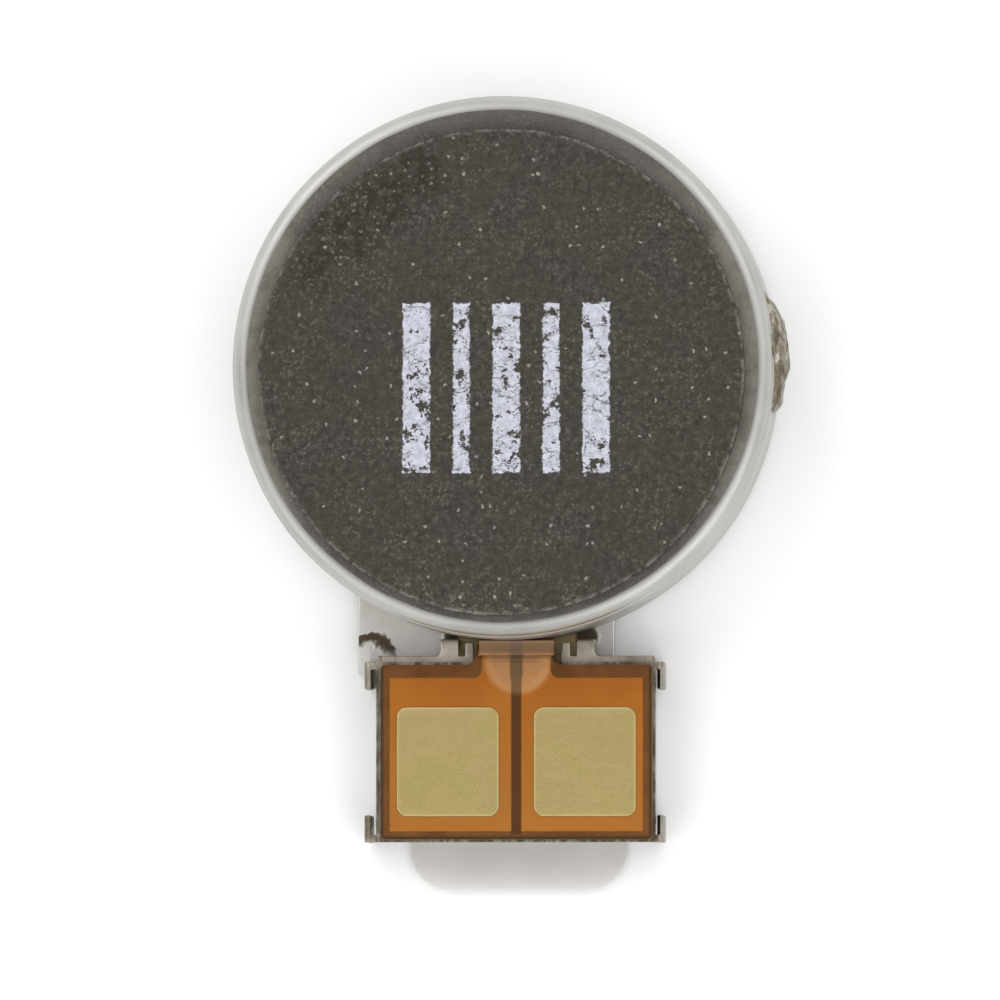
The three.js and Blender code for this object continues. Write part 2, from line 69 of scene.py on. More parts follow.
CASE_LOW, CASE_HIGH = box_mm("case_cup")
CASE_RADIUS = (CASE_HIGH.x - CASE_LOW.x) / 2
FILM_LOW, FILM_HIGH = box_mm("top_film")
FOAM_LOW, FOAM_HIGH = box_mm("foam_pad")
FOAM_RADIUS = (FOAM_HIGH.x - FOAM_LOW.x) / 2
FOAM_Y = (FOAM_HIGH.y + FOAM_LOW.y) / 2
BASE_LOW, BASE_HIGH = box_mm("base_plate")
BASE_TOP = BASE_LOW.z + 0.2
BASE_RADIUS = BASE_HIGH.x
TAPE_LOW, TAPE_HIGH = box_mm("mounting_tape")
STIFF_LOW, STIFF_HIGH = box_mm("contact_stiffener")
BOARD_X = (STIFF_LOW.x + STIFF_HIGH.x) / 2
CARRIER_LOW, CARRIER_HIGH = box_mm("contact_carrier")
PAD_BOXES = {side: box_mm("contact_pad_" + side) for side in ("left", "right")}
TRACE_BOXES = {side: box_mm("copper_trace_" + side) for side in ("left", "right")}
FLEX_BASE_Z = box_mm("flex_film")[0].z
SEAL_LOW, SEAL_HIGH = box_mm("neck_sealant")

# --- Sizes that the frame's boxes don't give ---

CASE_WALL = 0.2
SHAFT_HOLE = 0.41  # radius of the holes in the case and the base plate
CASE_EDGE_RADIUS = 0.28
FLEX_BOARD_Z = STIFF_HIGH.z + 0.01  # underside of the flexible film on the board
NECK_BEND = 0.2
NECK_RISE_Y = -5.2
NECK_LEFT, NECK_RIGHT = -0.57, 0.8
NECK_FLAT_END = NECK_RISE_Y - NECK_BEND  # where the board's level ends and the bend starts
NECK_RISE = FLEX_BOARD_Z - FLEX_BASE_Z - 2 * NECK_BEND
NECK_ARC = NECK_BEND * QUARTER
NECK_TOTAL = 2 * NECK_ARC + NECK_RISE
UNROLL = NECK_FLAT_END + NECK_TOTAL - (NECK_RISE_Y + NECK_BEND)  # flat-pattern v minus y, inside the case
FILM_LAYER = (0.0, 0.05)
COPPER_LAYER = (0.055, 0.085)
COVER_LAYER = (0.09, 0.12)
SEALANT_LAYER = (0.121, 0.16)
COPPER_GAP, COPPER_TOP, COPPER_END = 0.19, -5.7, -8.54
PAD_CORNER = 0.2


# --- Mesh helpers ---


def rounded(corners, steps=6):
    """Points of a closed outline from (x, y, radius) corners, each radius turned into an arc."""
    points = []
    for i, (x, y, radius) in enumerate(corners):
        here = Vector((x, y))
        if not radius:
            points.append(here)
            continue
        before = (Vector(corners[i - 1][:2]) - here).normalized()
        after = (Vector(corners[(i + 1) % len(corners)][:2]) - here).normalized()
        half = before.angle(after) / 2
        centre = here + (before + after).normalized() * (radius / math.sin(half))
        start = here + before * (radius / math.tan(half)) - centre
        end = here + after * (radius / math.tan(half)) - centre
        first = math.atan2(start.y, start.x)
        sweep = (math.atan2(end.y, end.x) - first + math.pi) % (2 * math.pi) - math.pi
        for k in range(steps + 1):
            angle = first + sweep * k / steps
            points.append(centre + radius * Vector((math.cos(angle), math.sin(angle))))
    return points


def arc(centre, radius, first, last, steps):
    """Points of a circular arc, angles in radians."""
    angles = [first + (last - first) * k / steps for k in range(steps + 1)]
    return [Vector((centre[0] + radius * math.cos(a), centre[1] + radius * math.sin(a))) for a in angles]


def circle(radius, steps):
    """Points of a circle about the origin."""
    return arc((0, 0), radius, 0, 2 * math.pi, steps)[:-1]


def disc_with_tongue(radius, left, right, corners, steps, corner_steps=6):
    """A disc's outline with a tongue towards -Y, which leaves the disc at left and right."""
    joints = [(x, -math.sqrt(radius**2 - x**2), 0) for x in (left, right)]
    stop, start = (math.atan2(y, x) for x, y, _ in joints)
    tongue = rounded([joints[0], *corners, joints[1]], corner_steps)
    return tongue + arc((0, 0), radius, start, stop + 2 * math.pi, steps)[1:-1]


def signed_area(loop):
    return sum(a.x * b.y - b.x * a.y for a, b in zip(loop, loop[1:] + loop[:1])) / 2


def wound(loop, turn):
    """The loop without repeated points, counter-clockwise for turn 1 and clockwise for -1."""
    clean = [p for i, p in enumerate(loop) if (p - loop[i - 1]).length > 1e-4]
    return clean if signed_area(clean) * turn > 0 else clean[::-1]


def inset(loop, by):
    """The loop moved to its left by a distance."""
    moved = []
    for i, here in enumerate(loop):
        along_in = (here - loop[i - 1]).normalized()
        along_out = (loop[(i + 1) % len(loop)] - here).normalized()
        normal_in = Vector((-along_in.y, along_in.x))
        normal_out = Vector((-along_out.y, along_out.x))
        shared = (normal_in + normal_out) / max(0.3, 1 + normal_in.dot(normal_out))
        moved.append(here + shared * by)
    return moved


def edge_profile(low, high, edge, steps=3):
    """(inset, height) pairs up a sheet's side whose two edges are rounded."""
    turns = [QUARTER * k / steps for k in range(steps + 1)]
    lower = [(edge * (1 - math.sin(a)), low + edge * (1 - math.cos(a))) for a in turns]
    upper = [(edge * (1 - math.sin(a)), high - edge * (1 - math.cos(a))) for a in reversed(turns)]
    return lower + upper


def linked(name, data):
    """A new object in the scene."""
    obj = bpy.data.objects.new(name, data)
    scene.collection.objects.link(obj)
    return obj


def mesh_from(bm, name):
    mesh = bpy.data.meshes.new(name)
    bm.to_mesh(mesh)
    bm.free()
    return mesh


def object_from(bm, name):
    """A new object from a bmesh in millimetres, in metres."""
    bmesh.ops.recalc_face_normals(bm, faces=bm.faces)
    bmesh.ops.transform(bm, matrix=Matrix.Scale(MM, 4), verts=bm.verts)
    return linked(name, mesh_from(bm, name))


def smooth(obj, angle=40):
    """Smooth shading with sharp edges past an angle, flat faces kept flat."""
    obj.data.polygons.foreach_set("use_smooth", [True] * len(obj.data.polygons))
    obj.data.set_sharp_from_angle(angle=math.radians(angle))
    weighted = obj.modifiers.new("flat faces first", "WEIGHTED_NORMAL")
    weighted.keep_sharp = True
    return obj


def bridge(bm, first, second):
    """Faces between two closed rings of vertices, where a ring may be one vertex repeated."""
    for i in range(len(first)):
        corners = (first[i - 1], first[i], second[i], second[i - 1])
        bm.faces.new(list(dict.fromkeys(corners)))


def sheet_bmesh(outer, holes, profile):
    """A closed solid over an outline with holes, its side shaped by (inset, height) pairs."""
    bm = bmesh.new()
    caps = ([], [])
    for loop in [wound(outer, 1)] + [wound(hole, -1) for hole in holes]:
        rings = [[bm.verts.new((*p, z)) for p in inset(loop, by)] for by, z in profile]
        for lower, upper in zip(rings, rings[1:]):
            bridge(bm, lower, upper)
        for cap, ring in zip(caps, (rings[0], rings[-1])):
            cap += [bm.edges.get((ring[i - 1], ring[i])) for i in range(len(ring))]
    for cap in caps:
        bmesh.ops.triangle_fill(bm, use_beauty=True, edges=cap, normal=(0, 0, 1))
    return bm


def slice_at(bm, values, axis=1):
    """Splits every face across an axis at each value, so that it can bend there."""
    normal = Vector([float(i == axis) for i in range(3)])
    for value in values:
        geometry = bm.verts[:] + bm.edges[:] + bm.faces[:]
        bmesh.ops.bisect_plane(bm, geom=geometry, dist=1e-6, plane_co=normal * value, plane_no=normal)


def sheet(name, outer, holes=(), low=0.0, high=1.0, edge=0.015):
    """A flat sheet with rounded edges."""
    return smooth(object_from(sheet_bmesh(outer, holes, edge_profile(low, high, edge)), name))


def turned_bmesh(profile, segments=256):
    """A solid of revolution about +Z from a closed (radius, height) profile, or one ending on the axis."""
    bm = bmesh.new()
    angles = [2 * math.pi * k / segments for k in range(segments)]
    rings = []
    for radius, z in profile:
        if radius < 1e-6:
            rings.append([bm.verts.new((0, 0, z))] * segments)
        else:
            rings.append([bm.verts.new((radius * math.cos(a), radius * math.sin(a), z)) for a in angles])
    on_axis = profile[0][0] < 1e-6
    for lower, upper in zip(rings, rings[1:] if on_axis else rings[1:] + rings[:1]):
        bridge(bm, lower, upper)
    return bm


def displace(bm, offset):
    """Moves each vertex by what offset(position) gives."""
    for vert in bm.verts:
        vert.co += offset(vert.co.copy())


def rough(position, scale, height):
    """Noise of a given scale, in features per millimetre, and height."""
    return noise.noise(position * scale) * height


# --- Material helpers ---


ALBEDO = 0.74  # the studio is bright enough to burn out the floor, so surfaces are that much darker


def srgb(red, green, blue):
    """A linear surface colour that shows as display values of 0 to 255 in this studio."""

    def linear(value):
        share = value / 255
        return share / 12.92 if share <= 0.04045 else ((share + 0.055) / 1.055) ** 2.4

    return (*(ALBEDO * linear(value) for value in (red, green, blue)), 1)


def shown(value):
    """Three display values as a surface colour, and anything else as it is."""
    return srgb(*value) if isinstance(value, tuple) and len(value) == 3 else value


class Look:
    """A procedural material. Texture coordinates are millimetres of the object's own space."""

    def __init__(self, name, **values):
        self.material = bpy.data.materials.new(name)
        self.material.use_nodes = True
        self.tree = self.material.node_tree
        self.tree.nodes.clear()
        self.shader = self.tree.nodes.new("ShaderNodeBsdfPrincipled")
        output = self.tree.nodes.new("ShaderNodeOutputMaterial")
        self.tree.links.new(self.shader.outputs[0], output.inputs["Surface"])
        self.bumped = None
        coords = self.tree.nodes.new("ShaderNodeTexCoord").outputs["Object"]
        scaled = self.vector("SCALE", coords)
        scaled.node.inputs["Scale"].default_value = 1 / MM
        self.place = scaled
        for socket, value in values.items():
            self.shader.inputs[socket.replace("_", " ")].default_value = value

    def _node(self, kind, settings, inputs):
        node = self.tree.nodes.new(kind)
        for key, value in settings.items():
            setattr(node, key, value)
        for key, value in inputs.items():
            if isinstance(value, bpy.types.NodeSocket):
                self.tree.links.new(value, node.inputs[key])
            else:
                node.inputs[key].default_value = value
        return node

    def vector(self, operation, *inputs):
        settings = {"operation": operation}
        return self._node("ShaderNodeVectorMath", settings, dict(enumerate(inputs))).outputs[0]

    def math(self, operation, *inputs, clamp=False):
        settings = {"operation": operation, "use_clamp": clamp}
        return self._node("ShaderNodeMath", settings, dict(enumerate(inputs))).outputs[0]

    def times(self, *values):
        return reduce(lambda first, second: self.math("MULTIPLY", first, second), values)

    def most(self, *values):
        return reduce(lambda first, second: self.math("MAXIMUM", first, second), values)

    def inverse(self, value):
        return self.math("SUBTRACT", 1.0, value)

    def ragged(self, size, *noise_values):
        """Noise about zero, to move an edge by."""
        return self.math("MULTIPLY_ADD", self.noise(*noise_values), size, -size / 2)

    def noise(self, scale, detail=3.0, roughness=0.55, at=None, distortion=0.0):
        inputs = {"Vector": at or self.place, "Scale": scale, "Detail": detail}
        inputs.update({"Roughness": roughness, "Distortion": distortion})
        return self._node("ShaderNodeTexNoise", {}, inputs).outputs["Fac"]

    def cells(self, scale, output="Distance"):
        """A pattern of cells seen from above, the same at every height, its shapes a little uneven."""
        drift = self._node("ShaderNodeTexNoise", {}, {"Vector": self.place, "Scale": 14.0}).outputs["Color"]
        small = self.vector("SCALE", self.vector("SUBTRACT", drift, (0.5, 0.5, 0.5)))
        small.node.inputs["Scale"].default_value = 0.12
        inputs = {"Vector": self.vector("ADD", self.place, small), "Scale": scale}
        return self._node("ShaderNodeTexVoronoi", {"voronoi_dimensions": "2D"}, inputs).outputs[output]

    def specks(self, scale, radius, picked):
        """1 in small dots, one to a cell, in the cells whose random value is over picked."""
        dots = self.between(self.cells(scale), radius * 0.5, radius, 1.0, 0.0)
        return self.times(dots, self.between(self.cells(scale, "Color"), picked, picked + 0.02))

    def stretched(self, x, y, z):
        """The coordinates scaled along each axis."""
        return self.vector("MULTIPLY", self.place, (x, y, z))

    def axis(self, name):
        return self._node("ShaderNodeSeparateXYZ", {}, {0: self.place}).outputs[name]

    def between(self, value, low, high, start=0.0, end=1.0):
        """value mapped smoothly from low..high to start..end, and clamped."""
        inputs = {"Value": value, "From Min": low, "From Max": high, "To Min": start, "To Max": end}
        return self._node("ShaderNodeMapRange", {"interpolation_type": "SMOOTHSTEP"}, inputs).outputs[0]

    def ramp(self, value, *stops):
        """Colours at places along a value."""
        node = self._node("ShaderNodeValToRGB", {}, {"Fac": value})
        for i, (at, colour) in enumerate(stops):
            stop = node.color_ramp.elements[i] if i < 2 else node.color_ramp.elements.new(at)
            stop.position = at
            stop.color = shown(colour)
        return node.outputs["Color"]

    def mix(self, share, first, second):
        inputs = {0: share, 6: shown(first), 7: shown(second)}
        return self._node("ShaderNodeMix", {"data_type": "RGBA", "blend_type": "MIX"}, inputs).outputs[2]

    def moved(self, distance, ragged, soft, edge=0.0):
        """1 nearer than an edge and 0 past it, where ragged moves the distance if given."""
        if ragged is not None:
            distance = self.math("ADD", distance, ragged)
        return self.between(distance, edge - soft, edge + soft, 1.0, 0.0)

    def rectangle(self, left, right, low, high, soft=0.01, ragged=None):
        """1 inside a rectangle and 0 outside, with a soft edge, moved by a ragged value if given."""
        far_x = self.math("SUBTRACT", self.offset("X", (left + right) / 2), (right - left) / 2)
        far_y = self.math("SUBTRACT", self.offset("Y", (low + high) / 2), (high - low) / 2)
        return self.moved(self.most(far_x, far_y), ragged, soft)

    def offset(self, axis, middle):
        """The distance from a middle plane."""
        return self.math("ABSOLUTE", self.math("SUBTRACT", self.axis(axis), middle))

    def spot(self, x, y, radius, soft, ragged=None):
        """1 at the middle of a round spot, falling to 0 at its soft edge, moved by ragged if given."""
        flat = self.vector("MULTIPLY", self.place, (1, 1, 0))
        away = self._node("ShaderNodeVectorMath", {"operation": "DISTANCE"}, {0: flat, 1: (x, y, 0)})
        return self.moved(away.outputs["Value"], ragged, soft, radius)

    def spots(self, places, softness):
        """The union of spots at (x, y, radius), their soft edge a share of the radius."""
        return self.most(*(self.spot(x, y, radius, radius * softness) for x, y, radius in places))

    def set(self, socket, value):
        self.tree.links.new(value, self.shader.inputs[socket])
        return self

    def colour(self, value):
        return self.set("Base Color", value)

    def roughness(self, value, smoothest, roughest):
        """Roughness from the usual spread of a noise value."""
        return self.set("Roughness", self.between(value, 0.3, 0.7, smoothest, roughest))

    def bump(self, height, depth, strength=1.0):
        """Adds a bump whose full height is depth millimetres."""
        inputs = {"Height": height, "Distance": depth * MM, "Strength": strength}
        if self.bumped is not None:
            inputs["Normal"] = self.bumped
        self.bumped = self._node("ShaderNodeBump", {}, inputs).outputs[0]
        return self.set("Normal", self.bumped)


# --- Materials ---


def satin_steel():
    look = Look("satin nickel", Metallic=1.0)
    drawn = look.noise(1.0, 4, 0.6, at=look.stretched(1.5, 1.5, 30))
    cloud = look.noise(0.9, 3)
    tone = look.ramp(cloud, (0.3, (196, 195, 190)), (0.7, (212, 211, 206)))
    marks = look.between(look.noise(14, 4, 0.7), 0.66, 0.78)
    worn = look.mix(marks, tone, (170, 167, 158))
    # Painted shade: the rim's flat top is darker next to the film's edge.
    film_edge_shade = look.spot(0, 0, FILM_HIGH.x + 0.07, 0.1)
    look.colour(look.mix(look.times(film_edge_shade, 0.85), worn, (136, 134, 129)))
    look.set("Roughness", look.between(look.math("ADD", cloud, drawn), 0.7, 1.3, 0.4, 0.52))
    look.bump(drawn, 0.004, 0.5)
    return look.bump(look.noise(26, 3), 0.003, 0.5).material


def with_painted_shade(look, tone):
    """The carrier's plating with painted shade, brown and streaky, along the board's edges and by the neck,
    and a darker patch on one foot.
    """
    streaks = look.between(look.noise(1.0, 5, 0.7, at=look.stretched(7, 1.6, 1)), 0.38, 0.62, 0.3, 0.95)
    half_width = (STIFF_HIGH.x - STIFF_LOW.x) / 2
    from_middle = look.offset("X", BOARD_X)
    y = look.axis("Y")
    # Painted shade where the carrier meets the board's edges.
    beside = look.between(from_middle, half_width - 0.03, half_width + 0.01)
    between_feet = look.between(from_middle, half_width + 0.08, half_width + 0.16, 1.0, 0.15)
    below = look.between(y, STIFF_LOW.y - 0.01, STIFF_LOW.y + 0.02, 1.0, 0.0)
    above = look.between(y, STIFF_HIGH.y + 0.03, STIFF_HIGH.y + 0.09, 1.0, 0.0)
    # Painted shade on the carrier by the neck.
    painted_light_and_shade_by_neck = look.times(look.spot(BOARD_X, -5.35, 1.0, 0.12), 0.5)
    board_shade = look.most(
        look.times(beside, between_feet), look.times(below, between_feet),
        look.times(above, look.inverse(beside)), painted_light_and_shade_by_neck,
    )
    # A darker patch on the lower-left foot.
    darker_foot = look.times(look.spot(-2.6, -8.46, 0.24, 0.1), 0.7)
    return look.mix(look.most(look.times(board_shade, streaks), darker_foot), tone, (92, 79, 58))


def plated_sheet():
    """Stamped sheet with a dull plating, scuffed, with brown stains, painted shade along the board and a
    painted highlight on the arms.
    """
    look = Look("plated sheet", Metallic=1.0)
    cloud = look.noise(1.6, 5, 0.6)
    grain = look.noise(22, 3, 0.6)
    dull = look.ramp(cloud, (0.32, (139, 129.8, 113.5)), (0.62, (189.8, 182.6, 168.1)))
    # Painted highlight: the bent arms are lighter, standing in for light on their slopes.
    arms = look.between(look.axis("Y"), CARRIER_HIGH.y - 0.42, CARRIER_HIGH.y - 0.3, 0.0, 0.7)
    arm_highlight = look.times(arms, look.between(cloud, 0.3, 0.6))
    tone = with_painted_shade(look, look.mix(arm_highlight, dull, (206, 199, 183)))
    stain = look.between(look.noise(4.5, 5, 0.7), 0.6, 0.74)
    look.colour(look.mix(look.times(stain, 0.77), tone, (112, 98, 74)))
    look.roughness(grain, 0.3, 0.5)
    look.bump(grain, 0.006, 0.6)
    return look.bump(look.noise(5, 4), 0.012, 0.5).material


def base_sheet():
    """The base plate's plating, with a burnt curl where it was welded, painted shade by the arms' ends and
    painted light beside the neck.
    """
    look = Look("base plate plating", Metallic=1.0)
    cloud = look.noise(1.2, 5, 0.6)
    grain = look.noise(20, 3, 0.6)
    tone = look.ramp(cloud, (0.3, (204, 200, 193)), (0.65, (223, 220, 215)))
    ragged = look.ragged(0.3, 4.5, 4, 0.6)
    inside_curl = look.spot(-2.68, -5.45, 0.41, 0.06, ragged)
    curl = look.times(look.spot(-2.62, -5.33, 0.5, 0.03, ragged), look.inverse(inside_curl))
    upper_half = look.between(look.axis("Y"), -5.3, -5.12, 0.0, 1.0)
    # Painted shade: dark spots in the crevices where the carrier's arms meet the plate at the case's edge,
    # with the burn's colour and bump.
    crevice_shade_by_arms = look.most(look.spot(1.44, -4.92, 0.2, 0.05), look.spot(-1.12, -4.93, 0.13, 0.05))
    marks = look.most(look.times(curl, upper_half), crevice_shade_by_arms)
    burnt = look.times(marks, look.between(grain, 0.2, 0.4))
    speck = look.between(look.noise(9, 4, 0.7), 0.66, 0.74)
    specked = look.mix(look.times(speck, 0.5), tone, (120, 112, 98))
    # Painted light: the plate beside the neck is lightened against the shade of the crevice there.
    painted_light_and_shade_by_neck = look.times(look.spot(BOARD_X, -5.2, 1.22, 0.1), look.between(cloud, 0.2, 0.5, 0.6, 0.9))
    look.colour(look.mix(burnt, look.mix(painted_light_and_shade_by_neck, specked, (186, 160, 112)), (88, 78, 62)))
    look.roughness(grain, 0.34, 0.5)
    look.bump(grain, 0.006, 0.5)
    return look.bump(burnt, 0.03, 0.6).material


def burnt_weld():
    look = Look("burnt weld", Metallic=0.85)
    cloud = look.noise(5, 5, 0.65, at=look.stretched(1.3, 0.5, 1), distortion=0.3)
    tone = look.ramp(
        cloud, (0.3, (78, 69, 56)), (0.48, (127, 118, 99)), (0.62, (188, 184, 170)),
        (0.75, (118, 108, 88)),
    )
    look.colour(tone)
    look.roughness(cloud, 0.55, 0.28)
    look.bump(cloud, 0.04, 0.7)
    return look.bump(look.noise(24, 4), 0.012, 0.7).material


INK_BARS = (0.5, 0.3, 0.5, 0.3, 0.5)  # widths of the printed bars, left to right
INK_LEFT, INK_RIGHT, INK_LOW, INK_HIGH = -1.81, 2.0, -1.98, 1.14
# Places on the foam, as x, y and radius: frayed patches of its edge, and rubbed patches
FRAYS = ((-1.6, -4.22, 0.3), (-0.7, -4.5, 0.3), (0.3, -4.57, 0.28), (1.2, -4.4, 0.25), (-4.35, -1.3, 0.3))
SCUFFS = ((-1.5, 3.55, 0.5), (-2.2, 3.05, 0.6), (-2.9, 2.45, 0.6), (-3.45, 1.75, 0.4))


def worn_print(look, fine):
    """Where the ink of the plain bars is: ragged edges, cracks and flaked holes."""
    ragged = look.ragged(0.16, 9, 5, 0.7)
    gap = (INK_RIGHT - INK_LEFT - sum(INK_BARS)) / (len(INK_BARS) - 1)
    bars, left = [], INK_LEFT
    for width in INK_BARS:
        bars.append(look.rectangle(left, left + width, INK_LOW, INK_HIGH, 0.012, ragged))
        left += width + gap
    flakes = look.between(look.noise(3.8, 4.5, 0.72), 0.56, 0.59, 1.0, 0.0)
    veins = look.noise(1.3, 4, 0.62, at=look.stretched(1, 1.8, 1))
    near_vein = look.math("ABSOLUTE", look.math("SUBTRACT", veins, 0.5))
    whole = look.between(near_vein, 0.006, 0.014, 0.3, 1.0)
    pores = look.between(fine, 0.3, 0.42, 0.55, 1.0)
    return look.times(look.most(*bars), flakes, whole, pores)


def foam_skin():
    """Fine dark foam with open pores and glints, rubbed patches, and a worn print of plain bars."""
    look = Look("fine foam", Specular_IOR_Level=0.25)
    grain = look.noise(7, 4, 0.6)
    fine = look.noise(19, 2, 0.6)
    mixed = look.math("MULTIPLY_ADD", fine, 0.4, look.times(grain, 0.6))
    pored = look.ramp(
        mixed, (0.36, (46, 43, 38)), (0.47, (58, 55, 49)), (0.56, (67, 64, 58)),
        (0.68, (90, 87, 80)),
    )
    tone = look.mix(look.between(look.noise(0.9, 3), 0.35, 0.65, 0.0, 0.3), pored, (66, 60, 50))
    faint = look.math("ADD", look.specks(7.5, 0.28, 0.5), look.specks(10.5, 0.3, 0.52), clamp=True)
    sparse = look.between(look.noise(1.6, 3), 0.4, 0.62, 0.04, 0.32)
    tone = look.mix(look.times(faint, sparse), tone, (124, 121, 112))
    # Painted glints: sparse bright specks.
    tone = look.mix(look.times(look.specks(3.1, 0.11, 0.68), 0.5), tone, (184, 181, 172))
    # The cut edge is fuzzy and catches light in broken dashes
    rim = look.inverse(look.spot(0, FOAM_Y, FOAM_RADIUS - 0.05, 0.05))
    dashes = look.between(look.noise(6, 5, 0.75), 0.42, 0.6, 0.0, 0.95)
    on_top = look.between(look.axis("Z"), FOAM_HIGH.z - 0.07, FOAM_HIGH.z - 0.04)
    tone = look.mix(look.times(rim, on_top, dashes), tone, (124, 121, 114))
    # The rubbed patches by the edge are darker, with coarse pits and more glints
    patch = look.spots(SCUFFS, 0.5)
    pits = look.between(look.noise(5.2, 7, 0.78), 0.45, 0.55)
    tone = look.mix(look.times(patch, pits, 0.85), tone, (40, 36, 27))
    tone = look.mix(look.times(patch, look.specks(8.0, 0.24, 0.66), 0.32), tone, (172, 168, 158))
    shreds = look.between(look.noise(9, 5, 0.75), 0.52, 0.62, 0.0, 0.55)
    tone = look.mix(look.times(look.spots(FRAYS, 0.6), shreds), tone, (142, 138, 126))
    ink = worn_print(look, fine)
    ink_tone = look.ramp(grain, (0.3, (168, 170, 180)), (0.65, (204, 205, 218)))
    look.colour(look.mix(ink, tone, ink_tone))
    look.set("Roughness", look.between(ink, 0.0, 1.0, 0.85, 0.65))
    look.bump(mixed, 0.04, 0.7)
    look.bump(faint, 0.012, 0.5)
    return look.bump(ink, 0.006, 0.5).material


def black_film():
    look = Look("black film", Specular_IOR_Level=0.3)
    fine = look.noise(18, 4, 0.7)
    cloud = look.noise(0.7, 3)
    smudge = look.noise(2.6, 4, 0.65)
    tone = look.ramp(fine, (0.35, (66, 63, 57)), (0.56, (88, 84, 78)), (0.7, (128, 124, 116)))
    hazy = look.mix(look.between(cloud, 0.4, 0.6, 0, 0.4), tone, (112, 107, 100))
    # Painted sheen: paler towards the left and right sides. Painted shade: darker towards the upper edge.
    sheen_on_sides = look.between(look.offset("X", 0.0), 3.2, 4.3, 0.0, 0.55)
    shade_on_upper_part = look.between(look.axis("Y"), 3.4, 4.4, 0.0, 0.3)
    tone = look.mix(sheen_on_sides, hazy, (134, 130, 122))
    tone = look.mix(shade_on_upper_part, tone, (58, 55, 49))
    look.colour(look.mix(look.between(smudge, 0.46, 0.66, 0, 0.45), tone, (70, 66, 58)))
    look.roughness(fine, 0.36, 0.55)
    return look.bump(fine, 0.01, 0.5).material


# How far a copper run's two sides are from the gap between the traces
RUN_INNER, RUN_OUTER = 0.02, 0.54


def root_fillet(look, x, sign, radius=0.16):
    """The copper's rounded inside corner, where its field meets its run into the neck."""
    far = x + sign * radius
    top = COPPER_TOP + radius
    corner = look.rectangle(min(x, far) - 0.01, max(x, far) + 0.01, COPPER_TOP - 0.02, top, 0.005)
    return look.times(corner, look.inverse(look.spot(far, top, radius, 0.01)))


def copper_mask(look):
    """1 over the copper under the cover film."""
    ragged = look.ragged(0.012, 6, 3)
    fields = []
    for side, (low, high) in TRACE_BOXES.items():
        sign = -1 if side == "left" else 1
        inner = BOARD_X + sign * COPPER_GAP / 2
        run_sides = sorted((inner + sign * RUN_INNER, inner + sign * RUN_OUTER))
        fields.append(look.rectangle(low.x, high.x, COPPER_END, COPPER_TOP, 0.012, ragged))
        fields.append(look.rectangle(*run_sides, -5.95, -3.0, 0.015, ragged))
        fields.append(root_fillet(look, inner + sign * RUN_OUTER, sign))
    return look.most(*fields)


def cover_film():
    """Amber cover film: orange over the copper, dark brown where there is none."""
    look = Look("amber cover film", Specular_IOR_Level=0.12)
    mask = copper_mask(look)
    fine = look.noise(30, 3, 0.6)
    along = look.between(look.axis("Y"), -8.6, -5.4)
    orange = look.mix(along, (160, 101, 38), (160, 93, 26))
    copper = look.mix(look.between(look.noise(1.1, 4), 0.35, 0.7, 0, 0.3), orange, (180, 112, 38))
    brown = look.ramp(look.noise(2, 3), (0.35, (98, 60, 26)), (0.65, (112, 72, 34)))
    seam = look.rectangle(BOARD_X - 0.1, BOARD_X + 0.1, -8.6, -5.2, 0.02)
    shaded = look.mix(look.times(seam, 0.8), brown, (76, 44, 20))
    middle = look.rectangle(STIFF_LOW.x + 0.055, STIFF_HIGH.x - 0.055, STIFF_LOW.y + 0.055, -5.0, 0.035)
    border = look.mix(middle, (66, 46, 26), shaded)
    root = look.spot(0.2, -5.38, 0.6, 0.09)  # the neck's root, where the film is clear and pale
    between_copper = look.mix(root, border, (122, 92, 56))
    tone = look.mix(mask, between_copper, look.mix(root, copper, (198, 144, 92)))
    dust = look.between(look.noise(34, 5, 0.75), 0.72, 0.8, 0.0, 0.4)
    look.colour(look.mix(dust, tone, (205, 180, 140)))
    look.roughness(fine, 0.3, 0.45)
    look.bump(mask, 0.012, 0.7)
    return look.bump(fine, 0.002, 0.5).material


def base_film():
    # Partly the film's own amber and partly painted light: it is made pale so that where it shows in the
    # shaded crevice by the neck it reads lighter.
    look = Look("amber base film", Specular_IOR_Level=0.2)
    cloud = look.noise(2.5, 4)
    look.colour(look.ramp(cloud, (0.3, (188, 132, 74)), (0.7, (212, 156, 92))))
    look.roughness(look.noise(24, 3), 0.3, 0.45)
    return look.bump(cloud, 0.004, 0.5).material


def gold_plate():
    """Matte gold, a little mottled and greener in places, with rubbed streaks and a painted highlight round
    each pad's edge.
    """
    look = Look("matte gold", Metallic=1.0)
    cloud = look.noise(1.1, 4, 0.6)
    grain = look.noise(28, 3, 0.6)
    tone = look.ramp(
        cloud, (0.3, (184, 165, 110)), (0.52, (188, 168, 114)), (0.7, (184, 168, 108)),
    )
    rubbed = look.between(look.noise(1.4, 4, at=look.stretched(1, 5, 1)), 0.52, 0.7, 0.0, 0.35)
    worn = look.mix(rubbed, tone, (200, 178, 122))
    # Painted highlight: a paler band round each pad's rounded edge.
    for low, high in PAD_BOXES.values():
        inside = look.rectangle(low.x + 0.04, high.x - 0.04, low.y + 0.04, high.y - 0.04, 0.02)
        over = look.rectangle(low.x - 0.1, high.x + 0.1, low.y - 0.1, high.y + 0.1)
        edge_highlight = look.times(look.math("SUBTRACT", over, inside), 0.6)
        worn = look.mix(edge_highlight, worn, (214, 192, 134))
    look.colour(worn)
    look.roughness(grain, 0.4, 0.52)
    look.bump(grain, 0.0015, 0.4)
    return look.bump(cloud, 0.01, 0.4).material


